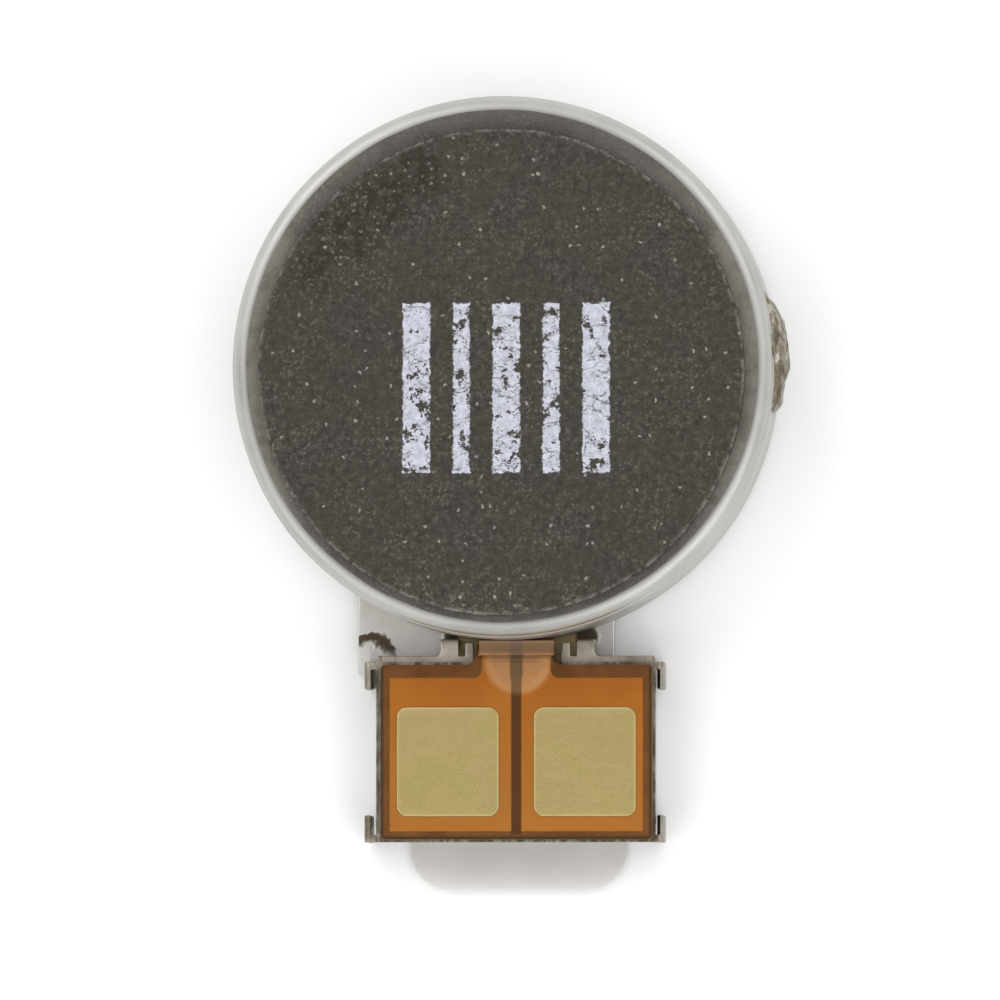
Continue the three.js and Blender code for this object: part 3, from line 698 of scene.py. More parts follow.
def mottled(name, dark, light, scale, roughness, depth, **values):
    """A plain procedural finish: two tones in a cloud, with a fine grain."""
    look = Look(name, **values)
    cloud = look.noise(scale, 4)
    grain = look.noise(scale * 8, 3)
    mixed = look.math("MULTIPLY_ADD", grain, 0.5, look.times(cloud, 0.5))
    look.colour(look.ramp(mixed, (0.36, dark), (0.64, light)))
    look.roughness(grain, roughness - 0.07, roughness + 0.08)
    return look.bump(mixed, depth, 0.6).material


def wire():
    """Enamelled wire: mottled copper under a clear coat."""
    look = Look("enamelled copper wire", Metallic=1.0, Coat_Weight=0.6, Coat_Roughness=0.15)
    cloud = look.noise(3, 4)
    look.colour(look.ramp(cloud, (0.3, (150, 72, 34)), (0.7, (205, 116, 62))))
    look.roughness(cloud, 0.22, 0.36)
    return look.bump(look.noise(16, 2), 0.01, 0.6).material


PLAIN = {
    "stiffener": ("dark laminate", (44, 30, 18), (74, 52, 32), 3, 0.6, 0.01, {}),
    "shaft_steel": ("ground steel", (178, 178, 180), (214, 214, 216), 2, 0.2, 0.002, {"Metallic": 1.0}),
    "magnet": ("plated magnet", (150, 150, 152), (184, 184, 186), 2, 0.3, 0.004, {"Metallic": 1.0}),
    "tungsten": ("sintered tungsten", (96, 97, 100), (132, 133, 136), 6, 0.48, 0.02, {"Metallic": 1.0}),
    "bronze": ("sintered bronze", (128, 98, 56), (176, 142, 92), 8, 0.5, 0.02, {"Metallic": 1.0}),
    "copper_foil": ("rolled copper", (172, 98, 58), (206, 128, 84), 3, 0.36, 0.003, {"Metallic": 1.0}),
    "solder": ("tin solder", (158, 159, 162), (206, 207, 210), 4, 0.28, 0.01, {"Metallic": 1.0}),
    "washer": ("polyester", (206, 196, 168), (226, 217, 192), 3, 0.45, 0.003, {}),
    "resin": ("moulded resin", (34, 36, 40), (56, 58, 62), 5, 0.5, 0.012, {}),
    "laminate": ("green laminate", (34, 74, 44), (58, 104, 66), 4, 0.45, 0.006, {}),
}


def paper():
    """The floor's white paper, which is not darkened like the object's surfaces."""
    look = Look("white paper", Roughness=0.85, Specular_IOR_Level=0.1)
    tone = look.ramp(look.noise(0.05), (0.3, (0.765, 0.765, 0.765, 1)), (0.7, (0.775, 0.775, 0.775, 1)))
    return look.colour(tone).material


def tape_film():
    look = Look("clear tape", Alpha=0.6, Specular_IOR_Level=0.3)
    cloud = look.noise(1.0, 4)
    look.colour(look.ramp(cloud, (0.3, (244, 240, 235)), (0.7, (252, 249, 246))))
    look.roughness(look.noise(12, 3), 0.3, 0.48)
    return look.bump(cloud, 0.006, 0.5).material


def sealant_coat():
    look = Look("clear sealant")
    cloud = look.noise(2.2, 4)
    hazy = look.spot(BOARD_X, -5.44, 0.49, 0.13)
    thin = look.times(hazy, look.between(cloud, 0.3, 0.7, 0.08, 0.16))
    look.set("Alpha", look.most(thin, look.between(look.axis("Y"), -5.295, -5.275, 0.0, 0.93)))
    # Painted shade: darker near the case, where its wall shades the coat, and paler in front.
    shaded_by_case = look.ramp(cloud, (0.3, (130, 98, 64)), (0.7, (146, 110, 74)))
    tone = look.mix(look.between(look.axis("Y"), -5.29, -5.2), (176, 128, 84), shaded_by_case)
    seam = look.rectangle(BOARD_X - 0.12, BOARD_X + 0.12, -6.2, -4.9, 0.05)
    look.colour(look.mix(look.times(seam, 0.8), tone, (114, 90, 72)))
    look.roughness(cloud, 0.12, 0.26)
    return look.bump(cloud, 0.012, 0.5).material


LOOKS = {
    "case_steel": satin_steel(),
    "plated_sheet": plated_sheet(),
    "weld": burnt_weld(),
    "foam": foam_skin(),
    "film": black_film(),
    "polyimide": cover_film(),
    "base film": base_film(),
    "base sheet": base_sheet(),
    "gold": gold_plate(),
    "tape": tape_film(),
    "sealant": sealant_coat(),
    "copper_wire": wire(),
}
for slot_name, (title, dark, light, scale, roughness, depth, values) in PLAIN.items():
    LOOKS[slot_name] = mottled(title, dark, light, scale, roughness, depth, **values)


def place_piece(obj, node, slot, look=None, body="housing"):
    """Gives a piece its material and its body, and hides the CAD node that it stands for."""
    obj.data.materials.append(LOOKS[look or slot])
    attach(obj, body)
    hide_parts(node)
    return obj


def finished(bm, name, angle, node, slot, look=None, body="housing"):
    """A piece straight from a bmesh, smooth up to an angle."""
    return place_piece(smooth(object_from(bm, name), angle), node, slot, look, body)


# --- Camera, light and floor ---

CAMERA_TARGET = Vector((-0.037, -2.471, 3.0))
CAMERA_LEAN = (0.0594, -0.0373)  # how far it stands off to +X and to -Y, for each unit up
CAMERA_DISTANCE = 283.5
CAMERA_LENS = 554.5


def add_camera():
    camera = bpy.data.cameras.new("camera")
    camera.lens = CAMERA_LENS
    camera.sensor_width = 36
    camera.clip_start = 0.02
    camera.clip_end = 5
    obj = linked("camera", camera)
    back = Vector((*CAMERA_LEAN, 1)).normalized()
    across = Vector((0, 1, 0)).cross(back).normalized()
    turn = Matrix((across, back.cross(across), back)).transposed()
    place = Matrix.Translation((CAMERA_TARGET + back * CAMERA_DISTANCE) * MM)
    obj.matrix_world = place @ turn.to_4x4()
    scene.camera = obj


LIGHT_DISTANCE = 0.45  # metres, like the light's size
LIGHT_SIZE = 0.4
LIGHT_ELEVATION = math.radians(42)
LIGHTS = {135: 1.1, 45: 0.8, -45: 0.95, -135: 0.7}  # compass angle from +X: watts
SKY = 0.68


def add_light(angle, power):
    """A square soft light aimed at the object."""
    lamp = bpy.data.lights.new("softbox", "AREA")
    lamp.size = LIGHT_SIZE
    lamp.energy = power
    obj = linked("softbox", lamp)
    level = math.cos(LIGHT_ELEVATION)
    place = Vector((level * math.cos(angle), level * math.sin(angle), math.sin(LIGHT_ELEVATION)))
    obj.location = place * LIGHT_DISTANCE
    obj.rotation_mode = "QUATERNION"
    obj.rotation_quaternion = place.to_track_quat("Z", "Y")


def add_stage():
    scene.view_settings.view_transform = "Standard"
    world = bpy.data.worlds.new("studio")
    scene.world = world
    world.use_nodes = True
    background = world.node_tree.nodes["Background"]
    background.inputs["Color"].default_value = (1, 1, 1, 1)
    background.inputs["Strength"].default_value = SKY
    for angle, power in LIGHTS.items():
        add_light(math.radians(angle), power)
    bm = bmesh.new()
    bmesh.ops.create_grid(bm, x_segments=2, y_segments=2, size=600)
    floor = object_from(bm, "floor")
    floor.location.z = -0.01 * MM
    floor.data.materials.append(paper())


add_camera()
add_stage()


# --- Housing ---


def boolean_cut(obj, cutter):
    """obj with cutter's space removed; cutter is deleted."""
    modifier = obj.modifiers.new("cut", "BOOLEAN")
    modifier.object = cutter
    modifier.operation = "DIFFERENCE"
    modifier.solver = "EXACT"
    bpy.context.view_layer.update()
    graph = bpy.context.evaluated_depsgraph_get()
    mesh = bpy.data.meshes.new_from_object(obj.evaluated_get(graph), depsgraph=graph)
    obj.modifiers.clear()
    obj.data = mesh
    bpy.data.objects.remove(cutter)
    return obj


def make_case():
    """The drawn cup, with a notch in its rim where the neck comes out."""
    top, bottom = CASE_HIGH.z, CASE_LOW.z
    step = 0.025  # the drawn edge is this much smaller than the wall below it
    centre = (CASE_RADIUS - step - CASE_EDGE_RADIUS, top - CASE_EDGE_RADIUS)
    shoulder = centre[1] - 0.06
    lip = 0.03
    inner = CASE_RADIUS - CASE_WALL
    profile = [(CASE_RADIUS - lip, bottom), (CASE_RADIUS - lip / 3, bottom + lip / 3)]
    profile += [(CASE_RADIUS, bottom + lip)]
    profile += [(CASE_RADIUS, bottom + (shoulder - bottom) * k / 8) for k in range(1, 8)]
    profile += [(CASE_RADIUS, shoulder - 0.03), (CASE_RADIUS - step / 2, shoulder - 0.01)]
    profile += [(CASE_RADIUS - step, shoulder)]
    profile += arc(centre, CASE_EDGE_RADIUS, 0, QUARTER, 12)
    profile += [(3.4, top), (2.0, top), (SHAFT_HOLE, top)]
    profile += [(SHAFT_HOLE, top - CASE_WALL), (3.0, top - CASE_WALL)]
    profile += arc(centre, CASE_EDGE_RADIUS - CASE_WALL, QUARTER, 0, 5)
    profile += [(inner, bottom + lip), (inner + lip, bottom)]
    case = object_from(turned_bmesh(profile, 288), "case_shell")
    notch = rounded([(-0.75, 0.0, 0), (0.98, 0.0, 0), (0.98, 0.53, 0.12), (-0.75, 0.53, 0.12)])
    bm = sheet_bmesh(notch, (), [(0, 0), (0, 1)])
    stand_up = Matrix(((1, 0, 0, 0), (0, 0, -1, -4.4), (0, 1, 0, 0), (0, 0, 0, 1)))
    bmesh.ops.transform(bm, matrix=stand_up, verts=bm.verts)
    boolean_cut(case, object_from(bm, "notch"))
    return place_piece(smooth(case, 35), "case_cup", "case_steel")


BEAD_PROUD = 0.262  # how far the weld lump may stand out of the case's wall
BEAD_OUTLINE = (  # share of the way to -Y, and share of the full height off the wall
    (0.0, 0.02), (0.05, 0.1), (0.1, 0.45), (0.25, 0.8), (0.5, 0.97), (0.66, 1.0), (0.76, 0.62), (1.0, 0.56),
)


def bead_rise(share):
    """The lump's outline at a share of its length."""
    before, after = next(pair for pair in zip(BEAD_OUTLINE, BEAD_OUTLINE[1:]) if share <= pair[1][0])
    blend = (share - before[0]) / (after[0] - before[0])
    return before[1] + (after[1] - before[1]) * blend


def grid_rim(grid):
    """The vertices round a grid's edge, in order."""
    return grid[0] + [row[-1] for row in grid[1:]] + grid[-1][-2::-1] + [row[0] for row in grid[-2:0:-1]]


def make_bead():
    """A lump of weld on the case's side."""
    low, high = box_mm("case_weld_bead")
    bm = bmesh.new()
    steps_y, steps_z = 44, 34
    middle_z = (low.z + high.z) / 2
    front, back = [], []
    for i in range(steps_y + 1):
        share = i / steps_y
        y = high.y + (low.y - high.y) * share
        wall = math.sqrt(CASE_RADIUS**2 - y * y)
        wave = noise.noise(Vector((share * 9, 3, 0)))
        swell = math.sin(math.pi * min(1.0, share * 0.8 + 0.12)) ** 0.6
        tall = (high.z - low.z) * (0.25 + 0.75 * swell) * (0.94 + 0.06 * wave)
        end = min(1.0, 14 * min(share, 1 - share)) ** 0.5
        front.append([])
        back.append([])
        for k in range(steps_z + 1):
            level = k / steps_z
            z = middle_z + tall * (level - 0.5)
            across = max(0.0, 1 - (2 * level - 1) ** 4) ** 0.5
            at = Vector((0, y, z))
            lump = 1 + 0.35 * noise.noise(at * 2.6) + 0.16 * noise.noise(at * 7.1)
            proud = min(0.03 + 0.215 * bead_rise(share) * lump, BEAD_PROUD) * across * end
            front[i].append(bm.verts.new((wall + proud * 0.98, y, z)))
            back[i].append(bm.verts.new((wall - 0.02, y, z)))
    for grid in (front, back):
        for first, second in zip(grid, grid[1:]):
            for k in range(steps_z):
                bm.faces.new((first[k], second[k], second[k + 1], first[k + 1]))
    bridge(bm, grid_rim(front), grid_rim(back))
    return finished(bm, "case_weld_lump", 50, "case_weld_bead", "weld")


def make_film():
    """The film disc, its edge a little turned down and not quite even."""
    radius, bottom, top = FILM_HIGH.x, FILM_LOW.z, FILM_HIGH.z
    edge = 0.02
    outer = [(radius, bottom), *arc((radius - edge, top - edge), edge, 0, QUARTER, 4)]
    flat = [(radius * (1 - k / 24), top) for k in range(1, 24)]
    bm = turned_bmesh([(0, bottom), *outer, *flat, (0, top)], 256)

    def uneven(p):
        share = math.hypot(p.x, p.y) / radius
        lift = rough(p, 1.4, 0.006) * (p.z > bottom + 0.01)
        radial = rough(Vector((p.x, p.y, 9)), 2.0, 0.012) * (share > 0.98)
        return outwards(p, radial / radius, min(0.0, lift))

    displace(bm, uneven)
    return finished(bm, "top_film_disc", 50, "top_film", "film")


NICK = (3.39, 2.79)  # a small tear in the foam's edge


def outwards(place, share, lift):
    """An offset away from the axis by a share of the distance to it, and upwards."""
    return Vector((place.x * share, place.y * share, lift))


def make_foam():
    """The foam disc: die-cut edge, shallow hollows and dents in its face, and a torn nick."""
    radius, bottom, top = FOAM_RADIUS, FOAM_LOW.z, FOAM_HIGH.z
    edge = 0.035
    wall = [(radius - 0.01, bottom), (radius, bottom + 0.04), (radius - 0.004, bottom + 0.11)]
    crown = arc((radius - edge, top - edge), edge, 0, QUARTER, 4)
    rings = 84
    flat = [((radius - edge) * (1 - k / rings), top) for k in range(1, rings)]
    bm = turned_bmesh([(0, bottom), *wall, *crown, *flat, (0, top)], 420)

    def worn(p):
        if p.z < bottom + 0.02:
            return Vector()
        share = math.hypot(p.x, p.y) / radius
        ragged = rough(p + Vector((0, 0, 3)), 3.0, 0.018) + rough(p, 9.0, 0.014)
        radial = (ragged - 0.012) * max(0.0, share - 0.96) / 0.04
        on_top = max(0.0, min(1.0, (p.z - bottom) / (top - bottom)))
        waves = ((1, 0.8, 0.012), (5, 5.0, 0.008), (7, 14.0, 0.006))  # level, scale, height
        hollow = sum(rough(Vector((p.x, p.y, level)), scale, height) for level, scale, height in waves)
        hollow -= 0.012
        scuffed = max(1 - math.hypot(p.x - x, p.y - y + FOAM_Y) / (1.5 * size) for x, y, size in SCUFFS)
        hollow -= 0.035 * max(0.0, scuffed) * max(0.0, noise.noise(p * 3.4) + 0.3)
        tear = math.hypot(p.x - NICK[0], p.y - NICK[1] + FOAM_Y)
        hollow -= 0.09 * max(0.0, 1 - tear / 0.14) ** 0.5
        return outwards(p, radial / radius, min(0.0, hollow) * on_top)

    displace(bm, worn)
    bmesh.ops.translate(bm, vec=(0, FOAM_Y, 0), verts=bm.verts)
    foam = place_piece(smooth(object_from(bm, "foam_disc"), 60), "foam_pad", "foam")
    return foam


def make_base():
    """The base plate: a disc and a tail in one outline, with the boss that holds the shaft."""
    left, right, end = -2.83, 1.93, BASE_LOW.y
    tail = [
        (left, -5.59, 0.05), (-2.5, -5.96, 0.05), (-2.5, end, 0.15), (2.7, end, 0.15), (2.7, -5.75, 0.1),
        (2.45, -5.5, 0.1), (right, -5.42, 0.12),
    ]
    outer = disc_with_tongue(BASE_RADIUS, left, right, tail, 220)
    bm = sheet_bmesh(outer, [circle(SHAFT_HOLE, 48)], edge_profile(BASE_LOW.z, BASE_TOP, 0.025))
    boss_top = BASE_HIGH.z
    boss = turned_bmesh([
        (SHAFT_HOLE, BASE_TOP - 0.1), (0.72, BASE_TOP - 0.1), (0.76, BASE_TOP), (0.71, BASE_TOP + 0.05),
        (0.7, boss_top - 0.04), (0.66, boss_top), (SHAFT_HOLE, boss_top),
    ], 64)
    boss_mesh = mesh_from(boss, "boss")
    bm.from_mesh(boss_mesh)
    bpy.data.meshes.remove(boss_mesh)
    return finished(bm, "base_plate_sheet.001", 40, "base_plate", "plated_sheet", "base sheet")


TAPE_CURL_START = -8.75  # past the contact board the tape's tongue curls up a little
TAPE_CURL = 0.13


def make_tape():
    """The adhesive tape: a disc under the base and a tongue that shows past the contact board."""
    left, right, end = -1.865, 2.165, TAPE_LOW.y
    waist, waist_end = 1.85, -5.9
    tongue = [(left, end, 0.7), (right, end, 0.7), (right, waist_end, 0.1), (waist, waist_end, 0.1)]
    outer = disc_with_tongue(TAPE_HIGH.x, left, waist, tongue, 180, 16)
    bm = sheet_bmesh(outer, (), edge_profile(TAPE_LOW.z, TAPE_HIGH.z, 0.02))
    steps = 12
    length = TAPE_CURL_START - end
    slice_at(bm, [TAPE_CURL_START - length * k / steps for k in range(steps)])
    displace(bm, lambda p: Vector((0, 0, TAPE_CURL * max(0.0, (TAPE_CURL_START - p.y) / length) ** 1.6)))
    return finished(bm, "mounting_tape_film", 40, "mounting_tape", "tape")


# --- Contact board ---


def neck_point(v, height):
    """(y, z) of a point v along the flexible circuit's flat pattern and height above its underside."""
    past = v - NECK_FLAT_END
    if past <= 0:
        return v, FLEX_BOARD_Z + height
    if past <= NECK_ARC:
        turn = past / NECK_BEND
        radius = NECK_BEND + height
        centre_z = FLEX_BOARD_Z - NECK_BEND
        return NECK_FLAT_END + radius * math.sin(turn), centre_z + radius * math.cos(turn)
    past -= NECK_ARC
    if past <= NECK_RISE:
        return NECK_RISE_Y + height, FLEX_BOARD_Z - NECK_BEND - past
    past -= NECK_RISE
    if past <= NECK_ARC:
        turn = past / NECK_BEND
        radius = NECK_BEND - height
        centre_z = FLEX_BASE_Z + NECK_BEND
        return NECK_RISE_Y + NECK_BEND - radius * math.cos(turn), centre_z - radius * math.sin(turn)
    return v - UNROLL, FLEX_BASE_Z + height


BEND_LINES = [NECK_FLAT_END + NECK_TOTAL * k / 44 for k in range(45)]


def flex_layer(name, outer, holes, layer, edge=0.008):
    """A layer of the flexible circuit from its flat pattern, bent along the neck."""
    bm = sheet_bmesh(outer, holes, edge_profile(*layer, edge, 2))
    slice_at(bm, BEND_LINES)
    for vert in bm.verts:
        vert.co.yz = neck_point(vert.co.y, vert.co.z)
    return smooth(object_from(bm, name), 35)


def unrolled(y):
    """The flat pattern's v for a y inside the case."""
    return y + UNROLL


BOARD_LEFT, BOARD_RIGHT = STIFF_LOW.x, STIFF_HIGH.x
BOARD_END, BOARD_TOP = STIFF_LOW.y, STIFF_HIGH.y
BOARD_CORNER = 0.08
BOARD_CORNERS = [
    (BOARD_LEFT, BOARD_TOP, BOARD_CORNER), (BOARD_LEFT, BOARD_END, BOARD_CORNER),
    (BOARD_RIGHT, BOARD_END, BOARD_CORNER), (BOARD_RIGHT, BOARD_TOP, BOARD_CORNER),
]


def board_outline(neck_end):
    """The board and its neck, filleted where they meet; neck_end holds the points at the neck's far end."""
    return [*BOARD_CORNERS, (NECK_RIGHT, BOARD_TOP, 0.22), *neck_end, (NECK_LEFT, BOARD_TOP, 0.22)]


def make_flex_film():
    hub, hole = 2.08, 0.76
    start = math.asin(NECK_RIGHT / hub) - QUARTER
    stop = 1.5 * math.pi + math.asin(NECK_LEFT / hub)
    ring = [(p.x, unrolled(p.y), 0) for p in arc((0, 0), hub, start, stop, 72)]
    outer = rounded(board_outline(ring))
    inner = [Vector((p.x, unrolled(p.y))) for p in circle(hole, 48)]
    film = flex_layer("flex_base", outer, [inner], FILM_LAYER)
    return place_piece(film, "flex_film", "polyimide", "base film")


def make_trace(side):
    sign = -1 if side == "left" else 1
    inner = BOARD_X + sign * COPPER_GAP / 2
    outer = inner + sign * 2.25
    near, far = inner + sign * RUN_INNER, inner + sign * RUN_OUTER
    v = unrolled
    corners = [
        (inner, COPPER_END, 0.04), (outer, COPPER_END, 0.04), (outer, COPPER_TOP, 0.04),
        (far, COPPER_TOP, 0.1), (far, v(-1.9), 0.05), (sign * 1.25, v(-1.6), 0.05),
        (sign * 1.55, v(-1.25), 0.05), (sign * 1.55, v(-0.8), 0.05), (sign * 1.15, v(-0.8), 0.05),
        (sign * 1.15, v(-1.2), 0.05), (near, v(-1.8), 0.05), (near, COPPER_TOP + 0.04, 0),
        (inner, COPPER_TOP, 0),
    ]
    trace = flex_layer("copper_foil_" + side, rounded(corners), (), COPPER_LAYER, 0.006)
    return place_piece(trace, "copper_trace_" + side, "copper_foil")


def pad_outline(side, grow):
    low, high = PAD_BOXES[side]
    radius = PAD_CORNER + grow
    return rounded([
        (low.x - grow, low.y - grow, radius), (high.x + grow, low.y - grow, radius),
        (high.x + grow, high.y + grow, radius), (low.x - grow, high.y + grow, radius),
    ], 10)


def make_cover():
    neck_end = [(NECK_RIGHT, unrolled(-3.2), 0.1), (NECK_LEFT, unrolled(-3.2), 0.1)]
    windows = [pad_outline(side, 0.003) for side in PAD_BOXES]
    cover = flex_layer("flex_cover", rounded(board_outline(neck_end)), windows, COVER_LAYER)
    return place_piece(cover, "flex_coverlay", "polyimide")


def make_pad(side):
    low, high = PAD_BOXES[side]
    pad = sheet("gold_pad_" + side, pad_outline(side, 0), (), low.z, high.z, 0.016)
    return place_piece(pad, "contact_pad_" + side, "gold")


def make_sealant():
    """A thin pale coat over the neck's bend, domed, with an uneven edge."""
    left, right, end = SEAL_LOW.x, SEAL_HIGH.x, SEAL_LOW.y
    middle = (left + right) / 2
    radius = (right - left) / 2
    low, high = SEALANT_LAYER
    lower = arc((middle, end + radius * 0.88), radius, math.pi, 2 * math.pi, 40)
    top = NECK_FLAT_END + NECK_ARC + 0.25
    outer = [Vector((p.x, end + (p.y - end) * 0.95)) for p in lower]
    outer += [Vector((NECK_RIGHT - 0.03, BOARD_TOP + 0.1)), Vector((NECK_RIGHT - 0.04, top))]
    outer += [Vector((NECK_LEFT + 0.04, top)), Vector((NECK_LEFT + 0.03, BOARD_TOP + 0.1))]
    steps = [(0.1, low), (0.0, low + 0.002), (0.02, low + 0.012), (0.07, low + 0.024), (0.14, low + 0.033)]
    bm = sheet_bmesh(outer, (), steps + [(0.22, high - 0.002)])
    slice_at(bm, BEND_LINES)
    for vert in bm.verts:
        wobble = rough(Vector((vert.co.x, vert.co.y, 2)), 4.0, 0.012)
        vert.co.x += wobble if vert.co.y < BOARD_TOP else 0
        vert.co.yz = neck_point(vert.co.y, vert.co.z)
    add_sealant_fill(bm)
    return finished(bm, "neck_sealant_coat", 60, "neck_sealant", "sealant")


def add_sealant_fill(bm):
    """What fills the space from the neck's bend to the case, dished between the two."""
    left, right = SEAL_LOW.x + 0.02, SEAL_HIGH.x - 0.02
    wall, top = -5.015, FLEX_BOARD_Z + SEALANT_LAYER[1] - 0.01
    centre = (NECK_FLAT_END, FLEX_BOARD_Z - NECK_BEND)
    under = arc(centre, NECK_BEND + COVER_LAYER[1] + 0.005, 0, QUARTER * 0.9, 10)
    dish = [  # y, height over the top
        (-5.42, 0.005), (-5.38, 0.012), (-5.3, 0.011), (-5.2, 0.0), (-5.11, -0.012), (-5.04, 0.0),
        (wall, 0.01),
    ]
    section = [Vector((wall, centre[1]))] + [Vector((y, top + over)) for y, over in dish[::-1]]
    section += under
    columns = 24
    rings = []
    for i in range(columns + 1):
        x = left + (right - left) * i / columns
        sag = 0.004 * noise.noise(Vector((x * 3, 4, 0))) - 0.002
        rings.append([bm.verts.new((x, p.x, p.y + (sag if p.y > top - 0.05 else 0))) for p in section])
    for first, second in zip(rings, rings[1:]):
        bridge(bm, first, second)
    for ring in (rings[0], rings[-1]):
        bm.faces.new(ring)


def make_stiffener():
    plate = sheet("board_stiffener", rounded(BOARD_CORNERS), (), STIFF_LOW.z, STIFF_HIGH.z, 0.01)
    return place_piece(plate, "contact_stiffener", "stiffener")


# The carrier sheet. Its flat pattern lies in x and y; past a bend line, distance runs down the fold.
SHEET_THICK = 0.12
CARRIER_FACE = CARRIER_HIGH.z
CARRIER_TOP, CARRIER_END = -5.29, CARRIER_LOW.y
SHEET_BEND = 0.1  # radius of the outer face of each bend
BEND_LENGTH = SHEET_BEND * QUARTER
FOOT_LENGTH = 0.5
FOOT_TIE = 0.14  # what joins a foot to the sheet
ARM_END = CARRIER_HIGH.y
ARM_TIP = ARM_END + BEND_LENGTH + CARRIER_FACE - BASE_TOP - 2 * SHEET_BEND - 0.02
GUIDE_TIP = -5.04
NECK_NOTCH_END = -5.95
# By side, -1 left and 1 right, in x. Arms and guides give their outer side first.
CARRIER_EDGE = {-1: -2.45, 1: 2.73}
FOOT_FACE = {-1: CARRIER_LOW.x, 1: CARRIER_HIGH.x}
ARM_SIDES = {-1: (-1.25, -0.92), 1: (1.6, 1.27)}
GUIDE_SIDES = {-1: (-0.8, -0.65), 1: (1.15, 1.0)}
NECK_NOTCH = {-1: -0.63, 1: 0.97}


def folded(distance, drop_start, depth):
    """(outward distance, drop) of a point in a sheet that folds down past drop_start."""
    past = distance - drop_start
    if past <= 0:
        return distance, depth
    turn = min(QUARTER, past / SHEET_BEND)
    out = drop_start + SHEET_BEND * math.sin(turn) - depth * math.sin(turn)
    straight = max(0.0, past - BEND_LENGTH)
    return out, SHEET_BEND * (1 - math.cos(turn)) + straight + depth * math.cos(turn)


def carrier_place(point):
    """Folds the flat pattern: feet past the sides, arms past the upper edge. z is depth below the face."""
    x, y, depth = point
    for side, edge in CARRIER_EDGE.items():
        if (x - edge) * side > 0.01:
            start = (FOOT_FACE[side] - edge) * side - SHEET_BEND
            out, drop = folded((x - edge) * side, start, depth)
            return Vector((edge + side * out, y, CARRIER_FACE - drop))
    if y > CARRIER_TOP + 0.01 and not (-0.82 < x < 1.17):
        out, drop = folded(y - CARRIER_TOP, ARM_END - CARRIER_TOP - SHEET_BEND, depth)
        return Vector((x, CARRIER_TOP + out, CARRIER_FACE - drop))
    return Vector((x, y, CARRIER_FACE - depth))


def foot_corners(side, upper):
    """The pattern's corners round one foot, from the sheet's end of the outline onwards."""
    edge = CARRIER_EDGE[side]
    inwards = -1 if upper else 1  # from the foot's far end to its near one
    far = CARRIER_TOP - 0.11 if upper else CARRIER_END
    near = far + inwards * FOOT_LENGTH
    tie = far + inwards * FOOT_TIE
    slot = edge + side * 0.09
    tip = FOOT_FACE[side] + side * (BEND_LENGTH + CARRIER_FACE - CARRIER_LOW.z - 2 * SHEET_BEND)
    points = [(edge, tie, 0.02), (slot, tie, 0.02), (slot, near, 0.03), (tip, near, 0.06), (tip, far, 0.06)]
    return points + ([(edge, far, 0.02)] if upper else [])


def upper_corners(side):
    """The pattern's upper edge from one side inwards: arm, guide and the notch for the neck."""
    arm_out, arm_in = ARM_SIDES[side]
    guide_out, guide_in = GUIDE_SIDES[side]
    notch, top = NECK_NOTCH[side], CARRIER_TOP
    return [
        (CARRIER_EDGE[side], top, 0.06),
        (arm_out, top, 0.1), (arm_out, ARM_TIP, 0.05), (arm_in, ARM_TIP, 0.05), (arm_in, top, 0.02),
        (guide_out, top, 0.02), (guide_out, GUIDE_TIP, 0.03), (guide_in, GUIDE_TIP, 0.03),
        (notch, top, 0), (notch, NECK_NOTCH_END, 0.6),
    ]


def carrier_outline():
    """The flat pattern, from its lower right foot round to its lower left one."""
    left, right = (
        foot_corners(side, False)[::-1] + foot_corners(side, True) + upper_corners(side) for side in (-1, 1)
    )
    return rounded(right + left[::-1])


def make_carrier():
    bm = sheet_bmesh(carrier_outline(), (), edge_profile(0, SHEET_THICK, 0.02))
    bend = [BEND_LENGTH * k / 6 for k in range(7)]
    for side, edge in CARRIER_EDGE.items():
        start = FOOT_FACE[side] - side * SHEET_BEND
        slice_at(bm, [start + side * past for past in bend], 0)
        slice_at(bm, [edge + side * 0.012], 0)
    slice_at(bm, [ARM_END - SHEET_BEND + past for past in bend])
    for vert in bm.verts:
        vert.co = carrier_place(vert.co)
    return finished(bm, "carrier_sheet", 40, "contact_carrier", "plated_sheet")


def make_arm_weld(side):
    """A dab of weld metal, spread unevenly on the base plate."""
    low, high = box_mm("arm_weld_" + side)
    centre = (low + high) / 2
    radius, height = (high.x - low.x) / 2, high.z - low.z
    dome = [(radius * math.cos(a), height * math.sin(a)) for a in (QUARTER * k / 10 for k in range(10))]
    bm = turned_bmesh([(0.0, 0.0), *dome, (0.0, height)], 40)
    seed = 3 if side == "left" else 8

    def uneven(p):
        swell = 0.25 * noise.noise(Vector((p.x, p.y, seed)) * 9) - 0.12
        return Vector((p.x * swell, p.y * swell, p.z * swell))

    displace(bm, uneven)
    bmesh.ops.translate(bm, vec=(centre.x, centre.y, low.z - 0.008), verts=bm.verts)
    return finished(bm, "weld_dab_" + side, 60, "arm_weld_" + side, "weld")


# --- Inside ---

WIRE_LAYERS = 10
COIL_INNER, COIL_OUTER, COIL_WIDTH = 1.4, 4.2, 0.52
COIL_HALF, COIL_MIDDLE = math.radians(31), math.radians(62)


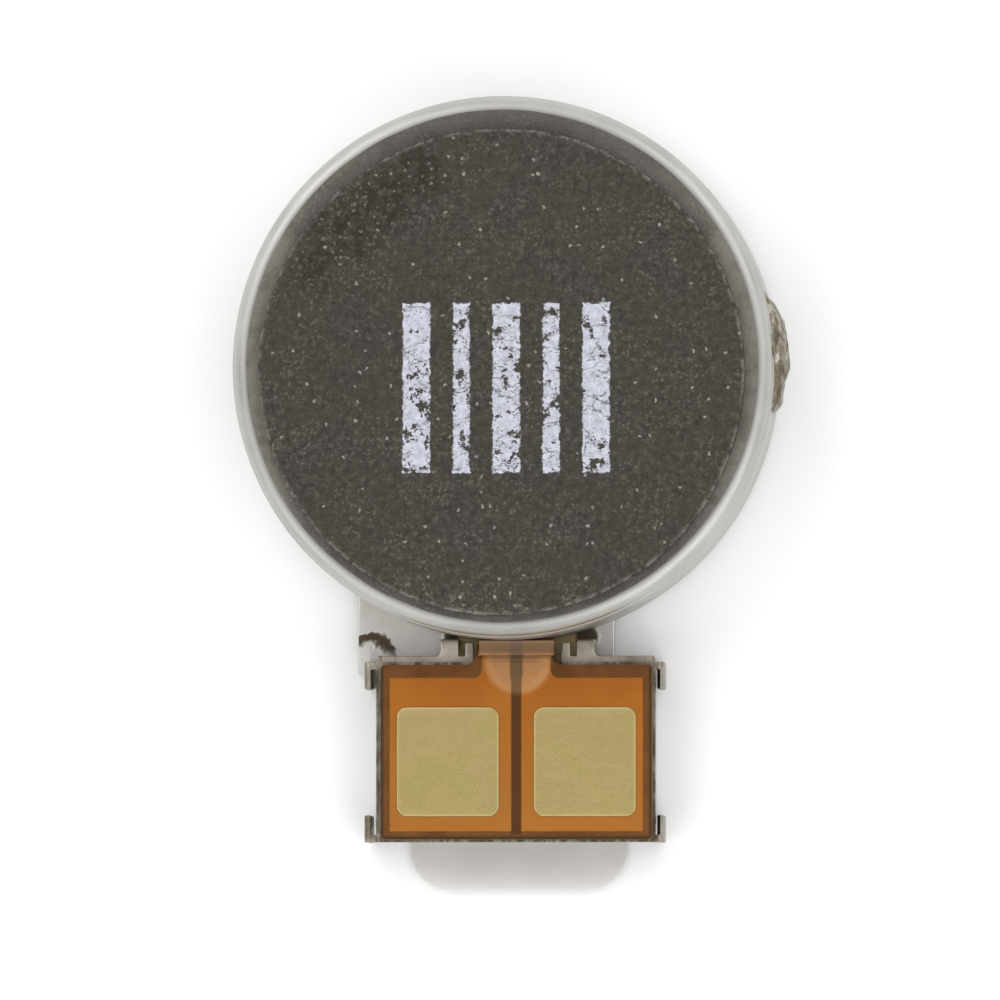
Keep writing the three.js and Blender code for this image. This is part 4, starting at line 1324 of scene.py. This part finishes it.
def coil_outline(side, by):
    """A rounded ring sector inset by a distance."""
    middle = QUARTER - side * COIL_MIDDLE
    half = COIL_HALF - 2 * by / (COIL_INNER + COIL_OUTER)
    inner, outer = COIL_INNER + by, COIL_OUTER - by
    corner = 0.35 * (1 - by)
    step_in, step_out = corner / inner, corner / outer
    points = arc((0, 0), outer, middle - half + step_out, middle + half - step_out, 30)
    points += corner_curve(outer, middle + half, -step_out, -corner)[::-1]
    points += corner_curve(inner, middle + half, -step_in, corner)
    points += arc((0, 0), inner, middle + half - step_in, middle - half + step_in, 20)
    points += corner_curve(inner, middle - half, step_in, corner)[::-1]
    points += corner_curve(outer, middle - half, step_out, -corner)
    return points


def corner_curve(radius, angle, turn, along):
    """Points of a curve that rounds a sector's corner, from its side to its arc."""
    def polar(r, a):
        return Vector((r * math.cos(a), r * math.sin(a)))

    start, corner, end = polar(radius + along, angle), polar(radius, angle), polar(radius, angle + turn)
    shares = [k / 6 for k in range(1, 6)]
    return [start * (1 - s) ** 2 + corner * 2 * s * (1 - s) + end * s * s for s in shares]


def make_coil(side):
    """A coil whose sides show its layers of wire."""
    low, high = box_mm("coil_" + side)
    sign = -1 if side == "left" else 1
    layer = (high.z - low.z) / WIRE_LAYERS
    profile = []
    round_wire = ((0.035, 0), (0.006, 0.25), (0, 0.5), (0.006, 0.75))  # inset, share of the layer
    for k in range(WIRE_LAYERS):
        profile += [(by, low.z + layer * (k + share)) for by, share in round_wire]
    profile.append((0.035, high.z))
    bm = sheet_bmesh(coil_outline(sign, 0), [coil_outline(sign, COIL_WIDTH)], profile)
    return finished(bm, "wire_coil_" + side, 70, "coil_" + side, "copper_wire", body="rotor")


def dress_hidden_nodes():
    """The CAD nodes that stay get their own finish, and a small bevel on their edges."""
    slots = {entry["node"]: entry["material_slot"] for entry in frame["record"]["subparts"]}
    for name, obj in frame["nodes"].items():
        obj.data.materials.clear()
        obj.data.materials.append(LOOKS[slots[name]])
        bevel = obj.modifiers.new("broken edges", "BEVEL")
        bevel.width = 0.008 * MM
        bevel.limit_method = "ANGLE"
        bevel.angle_limit = math.radians(50)


make_case()
make_bead()
make_film()
make_foam()
make_base()
make_tape()
make_flex_film()
make_cover()
make_sealant()
make_stiffener()
make_carrier()
for side in ("left", "right"):
    make_trace(side)
    make_pad(side)
    make_arm_weld(side)
    make_coil(side)
dress_hidden_nodes()
